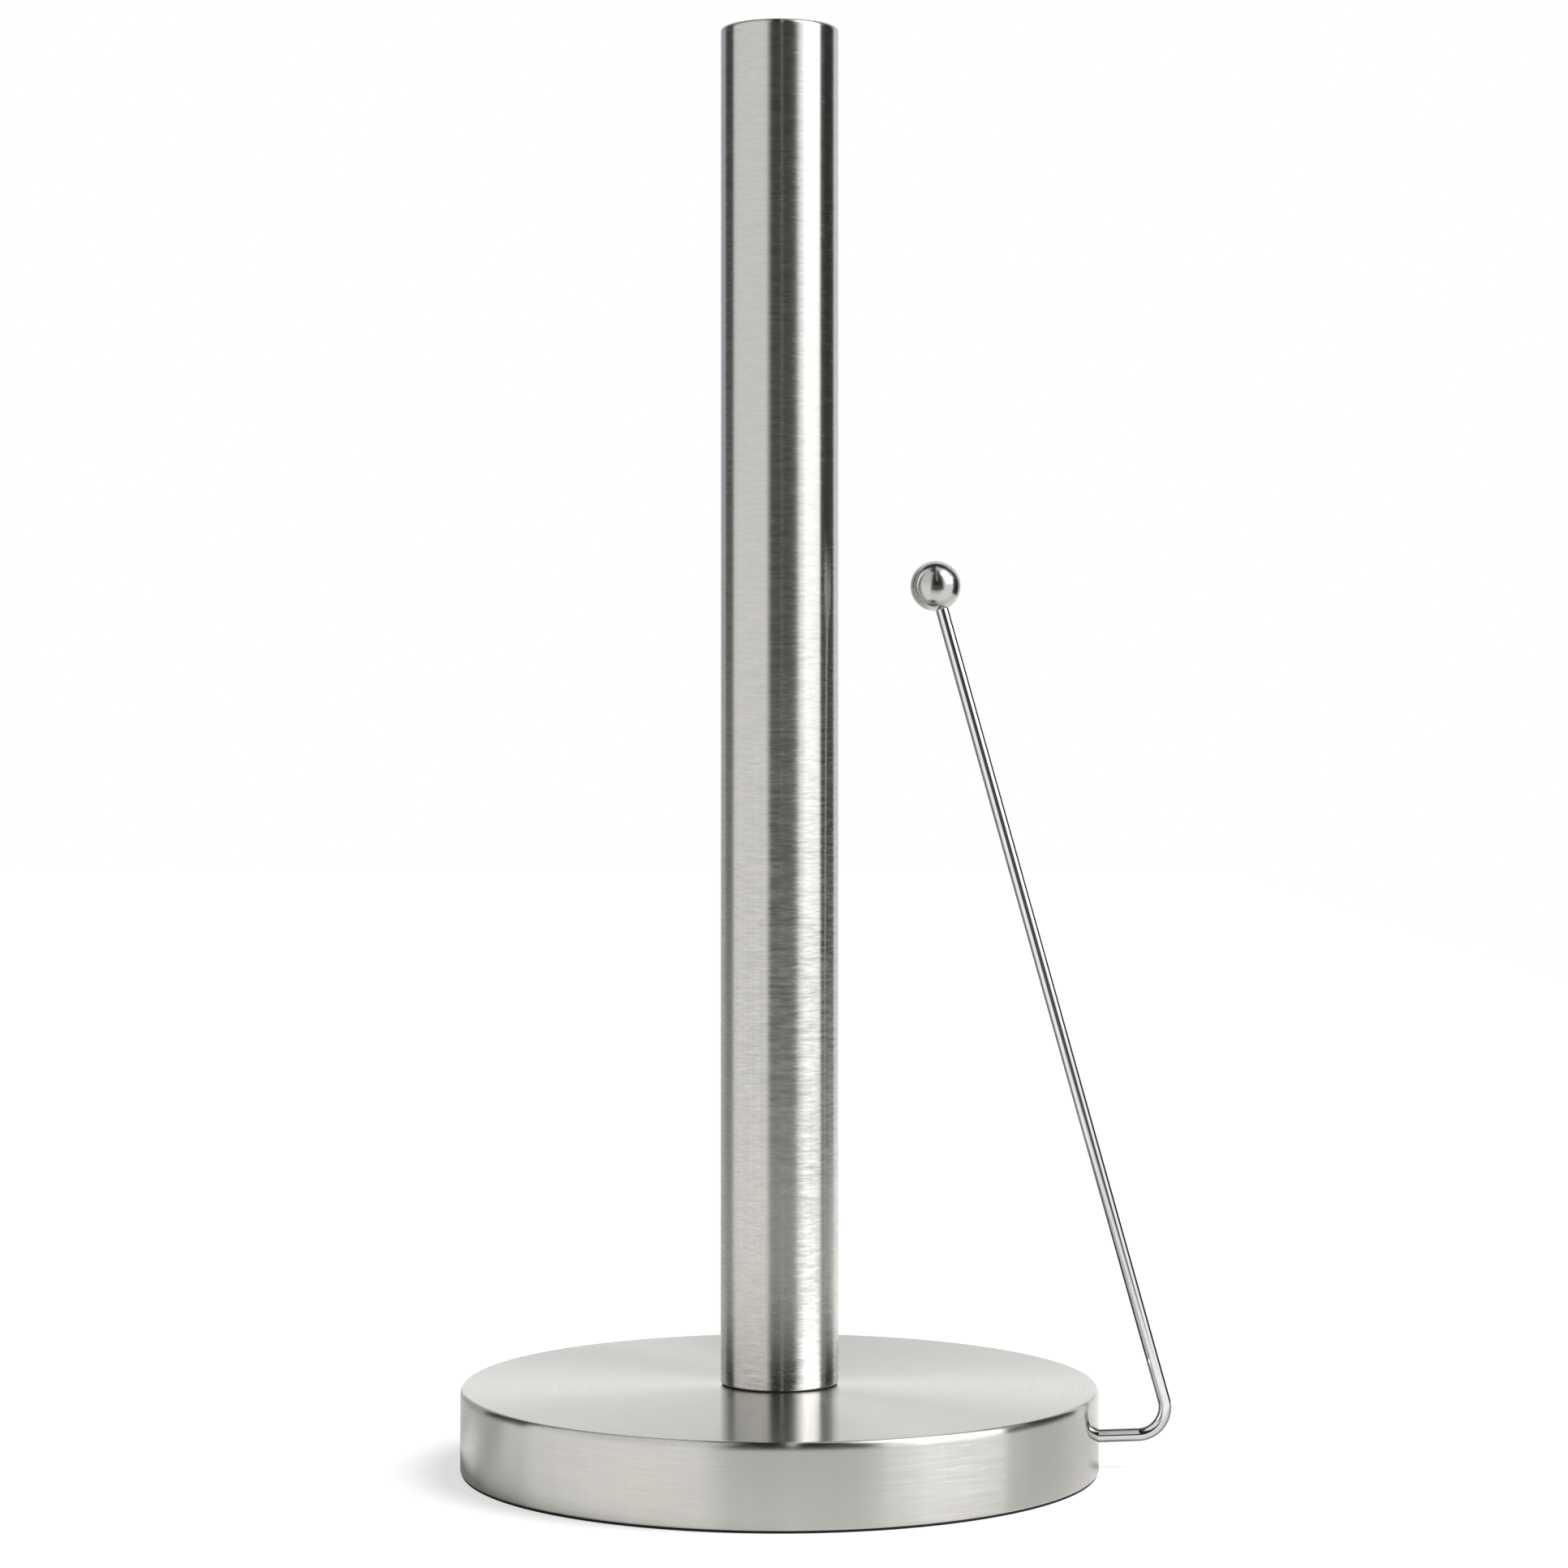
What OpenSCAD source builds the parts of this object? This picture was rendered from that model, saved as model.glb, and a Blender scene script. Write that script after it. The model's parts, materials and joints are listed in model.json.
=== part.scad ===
// Tension-arm paper towel holder.
// A round weighted base carries a closed tube that the roll slips over. A bent wire arm, sprung
// inwards by a hinge inside the base, leans its ball against the roll and holds the sheets still.
// Millimetres, +Z up. The origin is on the table, on the axis of the post. The arm leaves along +X.

/* [Base] */
// Outside diameter of the round base
base_d = 171; // [150:1:210]
// Height of the top face of the base above the table
base_h = 22.6; // [21:0.1:30]
// Radius of the rounded top edge of the base
base_round = 1.2; // [0.6:0.1:3]
// Radius of the small rounding on the lower lip of the base
lip_round = 0.4; // [0.2:0.05:0.5]
// Thickness of the drawn steel shell of the base
shell_t = 1; // [0.8:0.1:1.4]
// Height of the shell's lower lip above the table
lip_h = 0.6; // [0.4:0.1:1]
// Thickness of the rubber pad under the base
pad_t = 1.6; // [1.5:0.1:2.2]
// Set-back of the pad's rim from the outside of the base
pad_inset = 0.3; // [0.2:0.1:1]
// Thickness of the steel plate that closes the base
plate_t = 1; // [0.8:0.1:1.4]
// Space between the closing plate and the underside of the weight
plate_gap = 7; // [6:0.1:9]
// Thickness of the weight above the washers of the post bolt
seat_t = 6; // [4:0.1:7]
// Gap all round between the weight and the shell
weight_gap = 0.4; // [0.2:0.1:1]
// Gap all round between the closing plate and the shell
plate_edge_gap = 0.25; // [0.15:0.05:0.6]
// Distance of the closing plate's screws from the centre
plate_screw_ring = 64; // [50:1:66]
// Nominal diameter of the closing plate's screws
plate_screw_d = 4; // [3:0.5:5]
// Length of the closing plate's screws under the head
plate_screw_len = 8; // [6:1:10]

/* [Post] */
// Outside diameter of the post tube
post_d = 31.8; // [26:0.1:40]
// Wall thickness of the post tube
post_t = 1; // [0.8:0.1:1.5]
// Height of the top of the post above the table
post_top = 386.6; // [300:0.1:470]
// Radius of the rounding at the top of the post
post_round = 1.2; // [0.6:0.1:1.8]
// Radius of the rounding on the lower edge of the tube
tube_edge_round = 0.4; // [0.2:0.05:0.5]
// Thickness of the end cap above the tube
cap_t = 2; // [1.9:0.1:3]
// Depth to which the cap reaches into the tube
cap_spigot = 8; // [5:0.5:15]
// Wall thickness of the cap inside the tube
cap_wall = 1.2; // [0.8:0.1:2]
// Length of the threaded plug in the foot of the tube
plug_len = 16; // [14:0.5:25]
// Thickness of the gasket between the tube and the base
gasket_t = 0.5; // [0.3:0.1:1]
// Set-back of the gasket from the outside of the tube
gasket_inset = 0.5; // [0.2:0.1:0.9]
// Nominal diameter of the bolt that holds the post
bolt_d = 8; // [6:1:10]
// Length of that bolt under its head
bolt_len = 25; // [24:1:28]
// Height of the bolt's head
bolt_head_h = 5.3; // [4:0.1:6]
// Width of the bolt's hexagon across its flats
bolt_flats = 13; // [12:1:15]
// Outside diameter of the flat washer under the bolt
washer_d = 22; // [18:1:24]
// Thickness of the flat washer
washer_t = 1.6; // [1:0.1:2]
// Thickness of the spring lock washer
lock_t = 2; // [1.5:0.1:2.2]

/* [Arm] */
// Diameter of the arm's wire
wire_d = 3.5; // [3:0.1:4.2]
// Diameter of the ball at the arm's tip
ball_d = 13.5; // [10:0.5:20]
// Distance from the side of the base out to the corner of the elbow
arm_out = 20.3; // [17:0.1:30]
// Distance from the corner of the elbow to the centre of the ball
arm_len = 236.45; // [180:0.05:300]
// Angle of the long leg from the vertical, leaning towards the post
arm_lean = 15.68; // [8:0.01:18]
// Upward slope of the short leg, away from the base
arm_rise = 1.8; // [0:0.1:4]
// Radius of the elbow on the middle of the wire
elbow_r = 7.4; // [6:0.1:12]
// Height of the wire's axis where it leaves the side of the base
exit_h = 8.45; // [8.2:0.05:10]
// Angle through which the arm swings out, away from the post
arm_swing = 10; // [6:0.5:10]
// Depth of the hole in the ball for the wire
ball_hole = 5; // [3:0.5:6]

/* [Hinge] */
// Distance of the hinge axis in from the side of the base
hinge_inset = 17.5; // [16:0.5:19]
// Diameter of the hinge pin
pin_d = 4; // [3:0.1:4.8]
// Width of the lever along the hinge pin
lever_w = 10; // [9:0.5:12]
// Thickness of the lever
lever_h = 6; // [5.8:0.1:6.4]
// Length of the lever from the pin outwards
lever_out = 9.5; // [9:0.1:10]
// Length of the lever from the pin inwards
lever_in = 8; // [7:0.1:9]
// Depth of the hole in the lever for the wire
lever_socket = 6.5; // [6:0.1:6.8]
// Thickness of the sheet of the hinge bracket
bracket_t = 1.5; // [1:0.1:2]
// Height of the bracket's upper face above the hinge axis
bracket_up = 7; // [6.6:0.1:7.6]
// Radius of the bracket's ears round the pin
ear_r = 4.2; // [3.8:0.1:4.6]
// Nominal diameter of the bracket's and the lever's screws
small_screw_d = 3; // [2.5:0.5:3]
// Length of the bracket's screws under the head
bracket_screw_len = 6; // [4:0.5:6.5]
// Thickness of the pin's retaining clips
clip_t = 0.6; // [0.4:0.1:0.8]
// Wall thickness of the sleeves on the pin
sleeve_t = 0.9; // [0.6:0.1:1]
// Diameter of the torsion spring's wire
spring_wire_d = 1.2; // [1:0.1:1.3]
// Pitch of the torsion spring's turns
spring_pitch = 1.3; // [1.3:0.05:1.4]
// Length of the spring's end legs
spring_leg = 9; // [7:0.5:11]
// Diameter of the rubber stop under the lever
stop_d = 5; // [3:0.5:6]
// Wall thickness of the liner in the arm's slot
liner_t = 0.5; // [0.4:0.1:0.8]
// Width of the liner's flange round the slot
liner_flange = 1.2; // [0.8:0.1:2]

/* [Clearances] */
// Radial gap of a pin that turns in its bore
run_gap = 0.05; // [0.03:0.01:0.08]
// Radial gap of a piece that is seated and does not turn
seat_gap = 0.05; // [0.02:0.01:0.1]
// Radial gap of a screw or bolt in a clearance hole
screw_gap = 0.3; // [0.2:0.05:0.5]
// Gap between moving faces that do not guide each other
free_gap = 0.3; // [0.2:0.05:0.4]

/* [Hidden] */
$fn = 96;
eps = 0.01;            // lap where two shapes make one piece
over = 2;              // overshoot of a cut past the face that it opens

// Levels of the base, from the table up
plate_z = pad_t;
plate_top = plate_z + plate_t;
weight_z = plate_top + plate_gap;
shell_under = base_h - shell_t;
seat_z = shell_under - seat_t;
tube_z = base_h + gasket_t;
cap_z = post_top - cap_t;

// Radii of the base and the post
base_r = base_d / 2;
shell_ir = base_r - shell_t;
inner_round = max(0, base_round - shell_t);
pad_rim_gap = 0.1;     // between the pad's rim and the lip of the shell above it
plate_r = shell_ir - plate_edge_gap;
weight_r = shell_ir - weight_gap;
post_r = post_d / 2;
post_ir = post_r - post_t;
bolt_r = bolt_d / 2;
bolt_hole_r = bolt_r + screw_gap;

// Bolt and washers of the post, hung under the weight
spanner_room = 3;      // between the flat washer and the wall of its pocket
bolt_pocket_r = washer_d / 2 + spanner_room;
lock_z = seat_z - washer_t - lock_t;
lock_width = 2.3;      // width of the spring washer's ring
lock_cut = 0.8;        // its split

// Screws: width of a head and of its cross recess for each millimetre of the nominal diameter
head_ratio = 1.8;
recess_ratio = 0.85;
recess_w = 0.6;
drill_deeper = 0.6;    // a screw's blind hole goes this much past its tip

// Screws of the closing plate: low heads in holes of the pad
plate_screw_r = plate_screw_d / 2;
plate_head_h = 1.1;
plate_recess = 0.7;
pad_hole_gap = 0.9;     // between a head and the hole of the pad round it
pad_hole_r = head_ratio * plate_screw_r + pad_hole_gap;
boss_wall = 3;
boss_r = plate_screw_r + boss_wall;
boss_hole_top = plate_z + plate_screw_len + drill_deeper;

// The arm in its own frame: origin on the hinge axis, +X along the wire's short leg
wire_r = wire_d / 2;
pin_x = base_r - hinge_inset;
pin_z = exit_h - hinge_inset * tan(arm_rise);
corner_x = (hinge_inset + arm_out) / cos(arm_rise);
bend = 90 + arm_lean - arm_rise;
setback = elbow_r * tan(bend / 2);
bend_thin = 0.005;     // the elbow is this much thinner, as bending leaves it
bend_lap = 0.1;        // and each leg closes this far over its end
bottom_gap = 0.2;      // between the wire's end and the bottom of its hole
socket_end = lever_out - lever_socket;
ball_seat = ball_d / 2 - ball_hole;

// Travel of the wire in the side wall, which sets the height of the slot
exit_up = exit_h - pin_z;
exit_low = pin_z + exit_up * cos(arm_swing) - hinge_inset * sin(arm_swing);
mouth_lo = exit_low - wire_r / cos(arm_swing) - free_gap;
mouth_hi = exit_h + wire_r / cos(arm_rise) + free_gap;
mouth_w = wire_d + 2 * free_gap;
slot_lo = mouth_lo - liner_t;
slot_hi = mouth_hi + liner_t;
slot_w = mouth_w + 2 * liner_t;

// Pin, sleeves, spring and bracket, measured from the middle plane
pin_r = pin_d / 2;
side_gap = 0.1;        // between pieces that sit side by side on the pin
lever_y = lever_w / 2;
sleeve_y = lever_y + free_gap;
sleeve_or = pin_r + run_gap + sleeve_t;
spring_r = spring_wire_d / 2;
coil_gap = 0.15;       // between the coils and the sleeve inside them
coil_r = sleeve_or + coil_gap + spring_r;
coil_y = sleeve_y + side_gap + spring_r;
coil_turns = 3.5;
ear_y = coil_y + coil_turns * spring_pitch + spring_r + free_gap;
clip_y = ear_y + bracket_t + side_gap;
groove_deep = 0.4;
groove_r = pin_r - groove_deep;
clip_width = 1.7;      // of the clip outside the pin
clip_r = pin_r + clip_width;
pin_beyond = 0.8;      // length of the pin outside the clip
pin_end = clip_y + clip_t + pin_beyond;
web_top = pin_z + bracket_up;
web_z = web_top - bracket_t;
web_in = 24;           // reach of the web inwards from the hinge axis
small_r = small_screw_d / 2;
small_head_h = 1.8;
small_recess = 1;
bracket_screw_in = 18;  // distance of the bracket's screws inwards from the hinge axis
bracket_screw_x = pin_x - bracket_screw_in;
bracket_screw_y = 8;
pocket_side = 1.2;     // room between the pin's end and the side of the pocket
pocket_y = pin_end + pocket_side;
pocket_back = 3;       // room between the web's end and the back of the pocket
pocket_in = web_in + pocket_back;

// Rubber stop that the lever's inner end rests on
stop_gap = 0.15;
stop_x = lever_in - stop_d / 2;
stop_top = pin_z - (lever_h / 2) * cos(arm_rise) - lever_in * sin(arm_rise) - stop_gap;

// Liner in the slot: its flange lies against the inside of the shell, its lip stays behind the outside
flange_t = 0.8;
lip_back = 0.15;

// Spring wire: leg against the bracket, coil, bridge over the lever, and the mirror image
leg_reach = sqrt(coil_r * coil_r + spring_leg * spring_leg);
leg_rise = web_z - spring_r - side_gap - pin_z;
leg_angle = asin(leg_rise / leg_reach) - atan2(coil_r, spring_leg);
bridge_z = lever_h / 2 + free_gap + spring_r;
bridge_bend = 0.9;     // the wire turns across the lever within this length
coil_steps = 60;
coil_sweep = 3 * 360 + 270 - leg_angle;
function coil_point(a) = [coil_r * cos(a), coil_r * sin(a)];
function coil_at(i) =
    let (share = i / coil_steps, a = 90 - leg_angle - share * coil_sweep, p = coil_point(a))
    [p[0], coil_y + (1 - share) * coil_turns * spring_pitch, p[1]];
spring_tip = [
    coil_r * sin(leg_angle) - spring_leg * cos(leg_angle),
    coil_at(0)[1],
    coil_r * cos(leg_angle) + spring_leg * sin(leg_angle)
];
half_spring = concat(
    [spring_tip, (spring_tip + coil_at(0)) / 2],
    [for (i = [0:coil_steps]) coil_at(i)],
    [
        [-coil_r, coil_y, bridge_z - bridge_bend * 1.6],
        [-coil_r, coil_y - bridge_bend / 4, bridge_z - bridge_bend / 3],
        [-coil_r, coil_y - bridge_bend, bridge_z]
    ]
);
function mirrored(points) =
    [for (i = [len(points) - 1:-1:0]) [points[i][0], -points[i][1], points[i][2]]];
spring_path = concat(half_spring, mirrored(half_spring));

// Tube of radius r and n sides swept along a list of points
function unit(v) = v / norm(v);
function heading(path, i) = unit(path[min(i + 1, len(path) - 1)] - path[max(i - 1, 0)]);
function square_to(v, t) = unit(v - (v * t) * t);
function carried(path, i, v) =
    i >= len(path) ? [] :
    let (next = square_to(v, heading(path, i))) concat([next], carried(path, i + 1, next));
function ring(p, t, v, r, n) =
    let (w = cross(t, v)) [for (k = [0:n - 1]) p + r * (cos(360 * k / n) * v + sin(360 * k / n) * w)];
module swept_wire(path, r, n) {
    sides = carried(path, 0, [0.1, 1, 0.2]);
    last = len(path) - 1;
    points = [for (i = [0:last]) each ring(path[i], heading(path, i), sides[i], r, n)];
    skin = [
        for (i = [0:last - 1], k = [0:n - 1])
            [i * n + k, i * n + (k + 1) % n, (i + 1) * n + (k + 1) % n, (i + 1) * n + k]
    ];
    first_end = [for (k = [n - 1:-1:0]) k];
    last_end = [for (k = [0:n - 1]) last * n + k];
    polyhedron(points, concat([first_end], skin, [last_end]), convexity = 10);
}

// Shared shapes

// What a rounding of radius r takes off the outer corner at (x, y): up is 1 for a top corner and -1
// for a lower one
module corner_waste(x, y, r, up) {
    translate([x - r, y - up * r]) scale_y(up) difference() {
        square(r + over);
        circle(r);
    }
}

module scale_y(up) {
    if (up > 0) children();
    else mirror([0, 1]) children();
}

// Turned disc from z0 to z1 with its outer edges rounded
module disc(r, z0, z1, top_round, low_round) {
    rotate_extrude() difference() {
        translate([0, z0]) square([r, z1 - z0]);
        if (top_round > 0) corner_waste(r, z1, top_round, 1);
        if (low_round > 0) corner_waste(r, z0, low_round, -1);
    }
}

// Upright hole or pin from z0 to z1
module upright(r, z0, z1) {
    translate([0, 0, z0]) cylinder(r = r, h = z1 - z0);
}

// Cylinder along Y, centred on the middle plane
module crosswise(r, half) {
    rotate([90, 0, 0]) cylinder(r = r, h = 2 * half, center = true);
}

// Upright slot with round ends through the side wall, w wide, from z = lo to z = hi
module wall_slot(w, lo, hi) {
    translate([shell_ir - over, 0, 0]) rotate([90, 0, 90]) linear_extrude(shell_t + 2 * over) {
        translate([-w / 2, lo + w / 2]) square([w, hi - lo - w]);
        translate([0, lo + w / 2]) circle(w / 2);
        translate([0, hi - w / 2]) circle(w / 2);
    }
}

// Places of the four screws of the closing plate
module at_plate_screws() {
    for (a = [45:90:315]) rotate(a) translate([plate_screw_ring, 0, 0]) children();
}

// Places of the two screws of the bracket
module at_bracket_screws() {
    for (side = [-1, 1]) translate([bracket_screw_x, side * bracket_screw_y, 0]) children();
}

// Frame of the arm at rest
module in_arm() {
    translate([pin_x, 0, pin_z]) rotate([0, -arm_rise, 0]) children();
}

// Both sides of the middle plane
module both_sides() {
    children();
    mirror([0, 1, 0]) children();
}

// Screw driven upwards, with its head under z = seat and a cross recess in it
module cross_screw(d, len, seat, head_h, recess) {
    arm = recess_ratio * d;
    difference() {
        union() {
            upright(head_ratio * d / 2, seat - head_h, seat);
            upright(d / 2, seat - eps, seat + len);
        }
        for (a = [0, 90]) rotate(a) translate([-arm / 2, -recess_w / 2, seat - head_h - over])
            cube([arm, recess_w, over + recess]);
    }
}

// The base

// Drawn and brushed steel shell
module base_shell() {
    color("#c9c7c3") difference() {
        disc(base_r, lip_h, base_h, base_round, lip_round);
        disc(shell_ir, -over, shell_under, inner_round, 0);
        upright(bolt_hole_r, shell_under - over, base_h + over);
        wall_slot(slot_w, slot_lo, slot_hi);
    }
}

// Cast-iron weight, with a pocket for the hinge and four bosses for the closing plate
module weight() {
    color("#3c3d40") difference() {
        union() {
            disc(weight_r, weight_z, shell_under, inner_round + weight_gap, 0);
            at_plate_screws() upright(boss_r, plate_top, weight_z + eps);
        }
        upright(bolt_hole_r, weight_z - over, shell_under + over);
        upright(bolt_pocket_r, weight_z - over, seat_z);
        translate([pin_x - pocket_in, -pocket_y, weight_z - over])
            cube([base_r, 2 * pocket_y, web_top - weight_z + over]);
        at_plate_screws() upright(plate_screw_r + seat_gap, plate_top - over, boss_hole_top);
        at_bracket_screws()
            upright(small_r + seat_gap, web_top - over, web_z + bracket_screw_len + drill_deeper);
    }
}

// Steel plate that closes the base from below
module closing_plate() {
    color("#8d9094") difference() {
        disc(plate_r, plate_z, plate_top, 0, 0);
        at_plate_screws() upright(plate_screw_r + screw_gap, plate_z - over, plate_top + over);
    }
}

// Low-headed screws of the closing plate
module plate_screws() {
    color("#b9bbbd") at_plate_screws()
        cross_screw(plate_screw_d, plate_screw_len, plate_z, plate_head_h, plate_recess);
}

// Non-slip pad that the holder stands on, open under each screw head, with a rim under the shell's lip
module foot_pad() {
    color("#1b1b1c") difference() {
        union() {
            disc(plate_r, 0, pad_t, 0, 0);
            disc(base_r - pad_inset, 0, lip_h - pad_rim_gap, 0, 0);
        }
        at_plate_screws() upright(pad_hole_r, -over, pad_t + over);
    }
}

// The post

// Brushed steel tube that the roll turns on
module post_tube() {
    color("#c4c1bc") difference() {
        disc(post_r, tube_z, cap_z, 0, tube_edge_round);
        upright(post_ir, tube_z - over, cap_z + over);
    }
}

// Cap that closes the top of the tube, ground flush with it
module post_cap() {
    color("#c4c1bc") difference() {
        union() {
            disc(post_r, cap_z, post_top, post_round, 0);
            upright(post_ir - seat_gap, cap_z - cap_spigot, cap_z + eps);
        }
        upright(post_ir - seat_gap - cap_wall, cap_z - cap_spigot - over, cap_z);
    }
}

// Threaded steel plug in the foot of the tube
module post_plug() {
    color("#8d9094") difference() {
        upright(post_ir - seat_gap, tube_z, tube_z + plug_len);
        upright(bolt_r + seat_gap, tube_z - over, tube_z + plug_len + over);
    }
}

// Thin black washer between the tube and the base
module post_gasket() {
    color("#151515") difference() {
        upright(post_r - gasket_inset, base_h, tube_z);
        upright(bolt_hole_r, base_h - over, tube_z + over);
    }
}

// Bolt that pulls the post, the shell and the weight together
module post_bolt() {
    color("#a9abad") {
        upright(bolt_r, lock_z - eps, lock_z + bolt_len);
        translate([0, 0, lock_z - bolt_head_h]) cylinder(d = bolt_flats / cos(30), h = bolt_head_h, $fn = 6);
    }
}

module flat_washer() {
    color("#b9bbbd") difference() {
        upright(washer_d / 2, seat_z - washer_t, seat_z);
        upright(bolt_r + screw_gap / 2, seat_z - washer_t - over, seat_z + over);
    }
}

// Split spring washer under the bolt's head
module lock_washer() {
    color("#a0a2a4") difference() {
        upright(bolt_r + screw_gap / 2 + lock_width, lock_z, lock_z + lock_t);
        upright(bolt_r + screw_gap / 2, lock_z - over, lock_z + lock_t + over);
        translate([0, -lock_cut / 2, lock_z - over])
            cube([bolt_r + lock_width + over, lock_cut, lock_t + 2 * over]);
    }
}

// The hinge in the base

// Plastic liner that keeps the wire off the edges of the slot
module slot_liner() {
    flange_lo = max(plate_top + side_gap, slot_lo - liner_flange);
    color("#1d1d1e") difference() {
        union() {
            intersection() {
                wall_slot(slot_w - 2 * seat_gap, slot_lo + seat_gap, slot_hi - seat_gap);
                difference() {
                    upright(base_r - lip_back, flange_lo, base_h);
                    upright(shell_ir - seat_gap - flange_t, -over, base_h + over);
                }
            }
            intersection() {
                translate([0, -slot_w / 2 - liner_flange, flange_lo])
                    cube([base_r, slot_w + 2 * liner_flange, slot_hi + liner_flange - flange_lo]);
                difference() {
                    upright(shell_ir - seat_gap, 0, base_h);
                    upright(shell_ir - seat_gap - flange_t, -over, base_h + over);
                }
            }
        }
        wall_slot(mouth_w, mouth_lo, mouth_hi);
    }
}

// Folded bracket: a web against the weight and two ears that hang down round the pin
module hinge_bracket() {
    color("#9c9fa2") difference() {
        union() {
            translate([pin_x - web_in, -ear_y - bracket_t, web_z])
                cube([web_in + ear_r, 2 * (ear_y + bracket_t), bracket_t]);
            both_sides() translate([pin_x, ear_y, pin_z]) {
                translate([-ear_r, 0, 0]) cube([2 * ear_r, bracket_t, bracket_up]);
                rotate([-90, 0, 0]) cylinder(r = ear_r, h = bracket_t);
            }
        }
        translate([pin_x, 0, pin_z]) crosswise(pin_r + seat_gap, ear_y + bracket_t + over);
        at_bracket_screws() upright(small_r + screw_gap, web_z - over, web_top + over);
    }
}

// Screws driven up through the bracket into the weight
module bracket_screws() {
    color("#b9bbbd") at_bracket_screws()
        cross_screw(small_screw_d, bracket_screw_len, web_z, small_head_h, small_recess);
}

// Hinge pin, with a groove near each end for its clip
module hinge_pin() {
    color("#b4b6b8") translate([pin_x, 0, pin_z]) {
        crosswise(pin_r, clip_y);
        crosswise(groove_r, pin_end);
        both_sides() translate([0, clip_y + clip_t, 0])
            rotate([-90, 0, 0]) cylinder(r = pin_r, h = pin_end - clip_y - clip_t);
    }
}

// Open ring clip that snaps into the groove of the pin
module pin_clip() {
    rotate([-90, 0, 0]) difference() {
        cylinder(r = clip_r, h = clip_t);
        translate([0, 0, -over]) cylinder(r = groove_r + seat_gap, h = clip_t + 2 * over);
        translate([-groove_r * 0.8, 0, -over]) cube([groove_r * 1.6, clip_r + over, clip_t + 2 * over]);
    }
}

module pin_clips() {
    color("#6d6f72") both_sides() translate([pin_x, clip_y, pin_z]) pin_clip();
}

// Plastic sleeves that centre the lever and carry the coils
module pin_sleeves() {
    color("#e4e2dc") both_sides() translate([pin_x, sleeve_y, pin_z]) rotate([-90, 0, 0]) difference() {
        cylinder(r = sleeve_or, h = ear_y - sleeve_y - side_gap);
        translate([0, 0, -over]) cylinder(r = pin_r + run_gap, h = ear_y - sleeve_y + 2 * over);
    }
}

// Double torsion spring of one wire
module arm_spring() {
    color("#7d8084") translate([pin_x, 0, pin_z]) swept_wire(spring_path, spring_r, 8);
}

// Rubber stop on the closing plate
module arm_stop() {
    color("#1b1b1c") translate([pin_x - stop_x, 0, 0]) upright(stop_d / 2, plate_top, stop_top);
}

// The arm

// Steel block that turns on the pin and holds the end of the wire
module arm_lever() {
    edge = 1;
    middle = (socket_end + lever_out) / 2;
    color("#9c9fa2") in_arm() difference() {
        rotate([90, 0, 0]) linear_extrude(lever_w, center = true) difference() {
            translate([-lever_in, -lever_h / 2]) square([lever_in + lever_out, lever_h]);
            for (up = [-1, 1]) {
                corner_waste(lever_out, up * lever_h / 2, edge, up);
                mirror([1, 0]) corner_waste(lever_in, up * lever_h / 2, edge, up);
            }
        }
        crosswise(pin_r + run_gap, lever_w);
        translate([socket_end, 0, 0]) rotate([0, 90, 0])
            cylinder(r = wire_r + seat_gap, h = lever_socket + over);
        translate([middle, 0, 0]) rotate([-90, 0, 0]) cylinder(r = small_r + seat_gap, h = lever_w);
    }
}

// Headless screw that clamps the wire in the lever
module lever_screw() {
    len = lever_y - wire_r - side_gap;
    key_flats = small_screw_d / 2;
    key_deep = 1.2;
    color("#55575a") in_arm() translate([(socket_end + lever_out) / 2, lever_y - len, 0])
        rotate([-90, 0, 0]) difference() {
            cylinder(r = small_r, h = len);
            translate([0, 0, len - key_deep]) cylinder(d = key_flats / cos(30), h = over, $fn = 6);
        }
}

// Bent steel wire: short leg, elbow and long leg
module arm_wire() {
    near_end = socket_end + bottom_gap;
    far_end = arm_len - ball_seat - bottom_gap;
    color("#b8bcc0") in_arm() {
        translate([near_end, 0, 0]) rotate([0, 90, 0])
            cylinder(r = wire_r, h = corner_x - setback + bend_lap - near_end);
        translate([corner_x - setback, 0, elbow_r]) rotate([90, 0, 0]) rotate(-90)
            rotate_extrude(angle = bend) translate([elbow_r, 0]) circle(wire_r - bend_thin);
        translate([corner_x, 0, 0]) rotate([0, -bend, 0]) translate([setback - bend_lap, 0, 0])
            rotate([0, 90, 0]) cylinder(r = wire_r, h = far_end - setback + bend_lap);
    }
}

// Polished ball, drilled for the wire
module arm_ball() {
    color("#c2c4c8") in_arm() translate([corner_x, 0, 0]) rotate([0, -bend, 0]) translate([arm_len, 0, 0])
        difference() {
            sphere(d = ball_d);
            translate([-ball_d, 0, 0]) rotate([0, 90, 0])
                cylinder(r = wire_r + seat_gap, h = ball_d - ball_seat);
        }
}

base_shell();
weight();
closing_plate();
plate_screws();
foot_pad();
post_tube();
post_cap();
post_plug();
post_gasket();
post_bolt();
flat_washer();
lock_washer();
slot_liner();
hinge_bracket();
bracket_screws();
hinge_pin();
pin_clips();
pin_sleeves();
arm_spring();
arm_stop();
arm_lever();
lever_screw();
arm_wire();
arm_ball();
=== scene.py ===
# %% [markdown]
# # A paper towel holder with a sprung arm
# The real holder is a round weighted base in brushed stainless steel, a brushed tube that the roll
# turns on, and a polished bent wire with a ball on its tip that keeps the sheets still. The packed
# CAD model already says how big every piece is and where it sits. This script gives those pieces
# their looks: turned steel with its grain, bent and polished wire, rubber, iron and plastic.

# %% Load the frame
import json
from math import asin, atan2, cos, degrees, hypot, pi, radians, sin, sqrt

import bmesh
import bpy
from mathutils import Matrix, Vector


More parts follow.
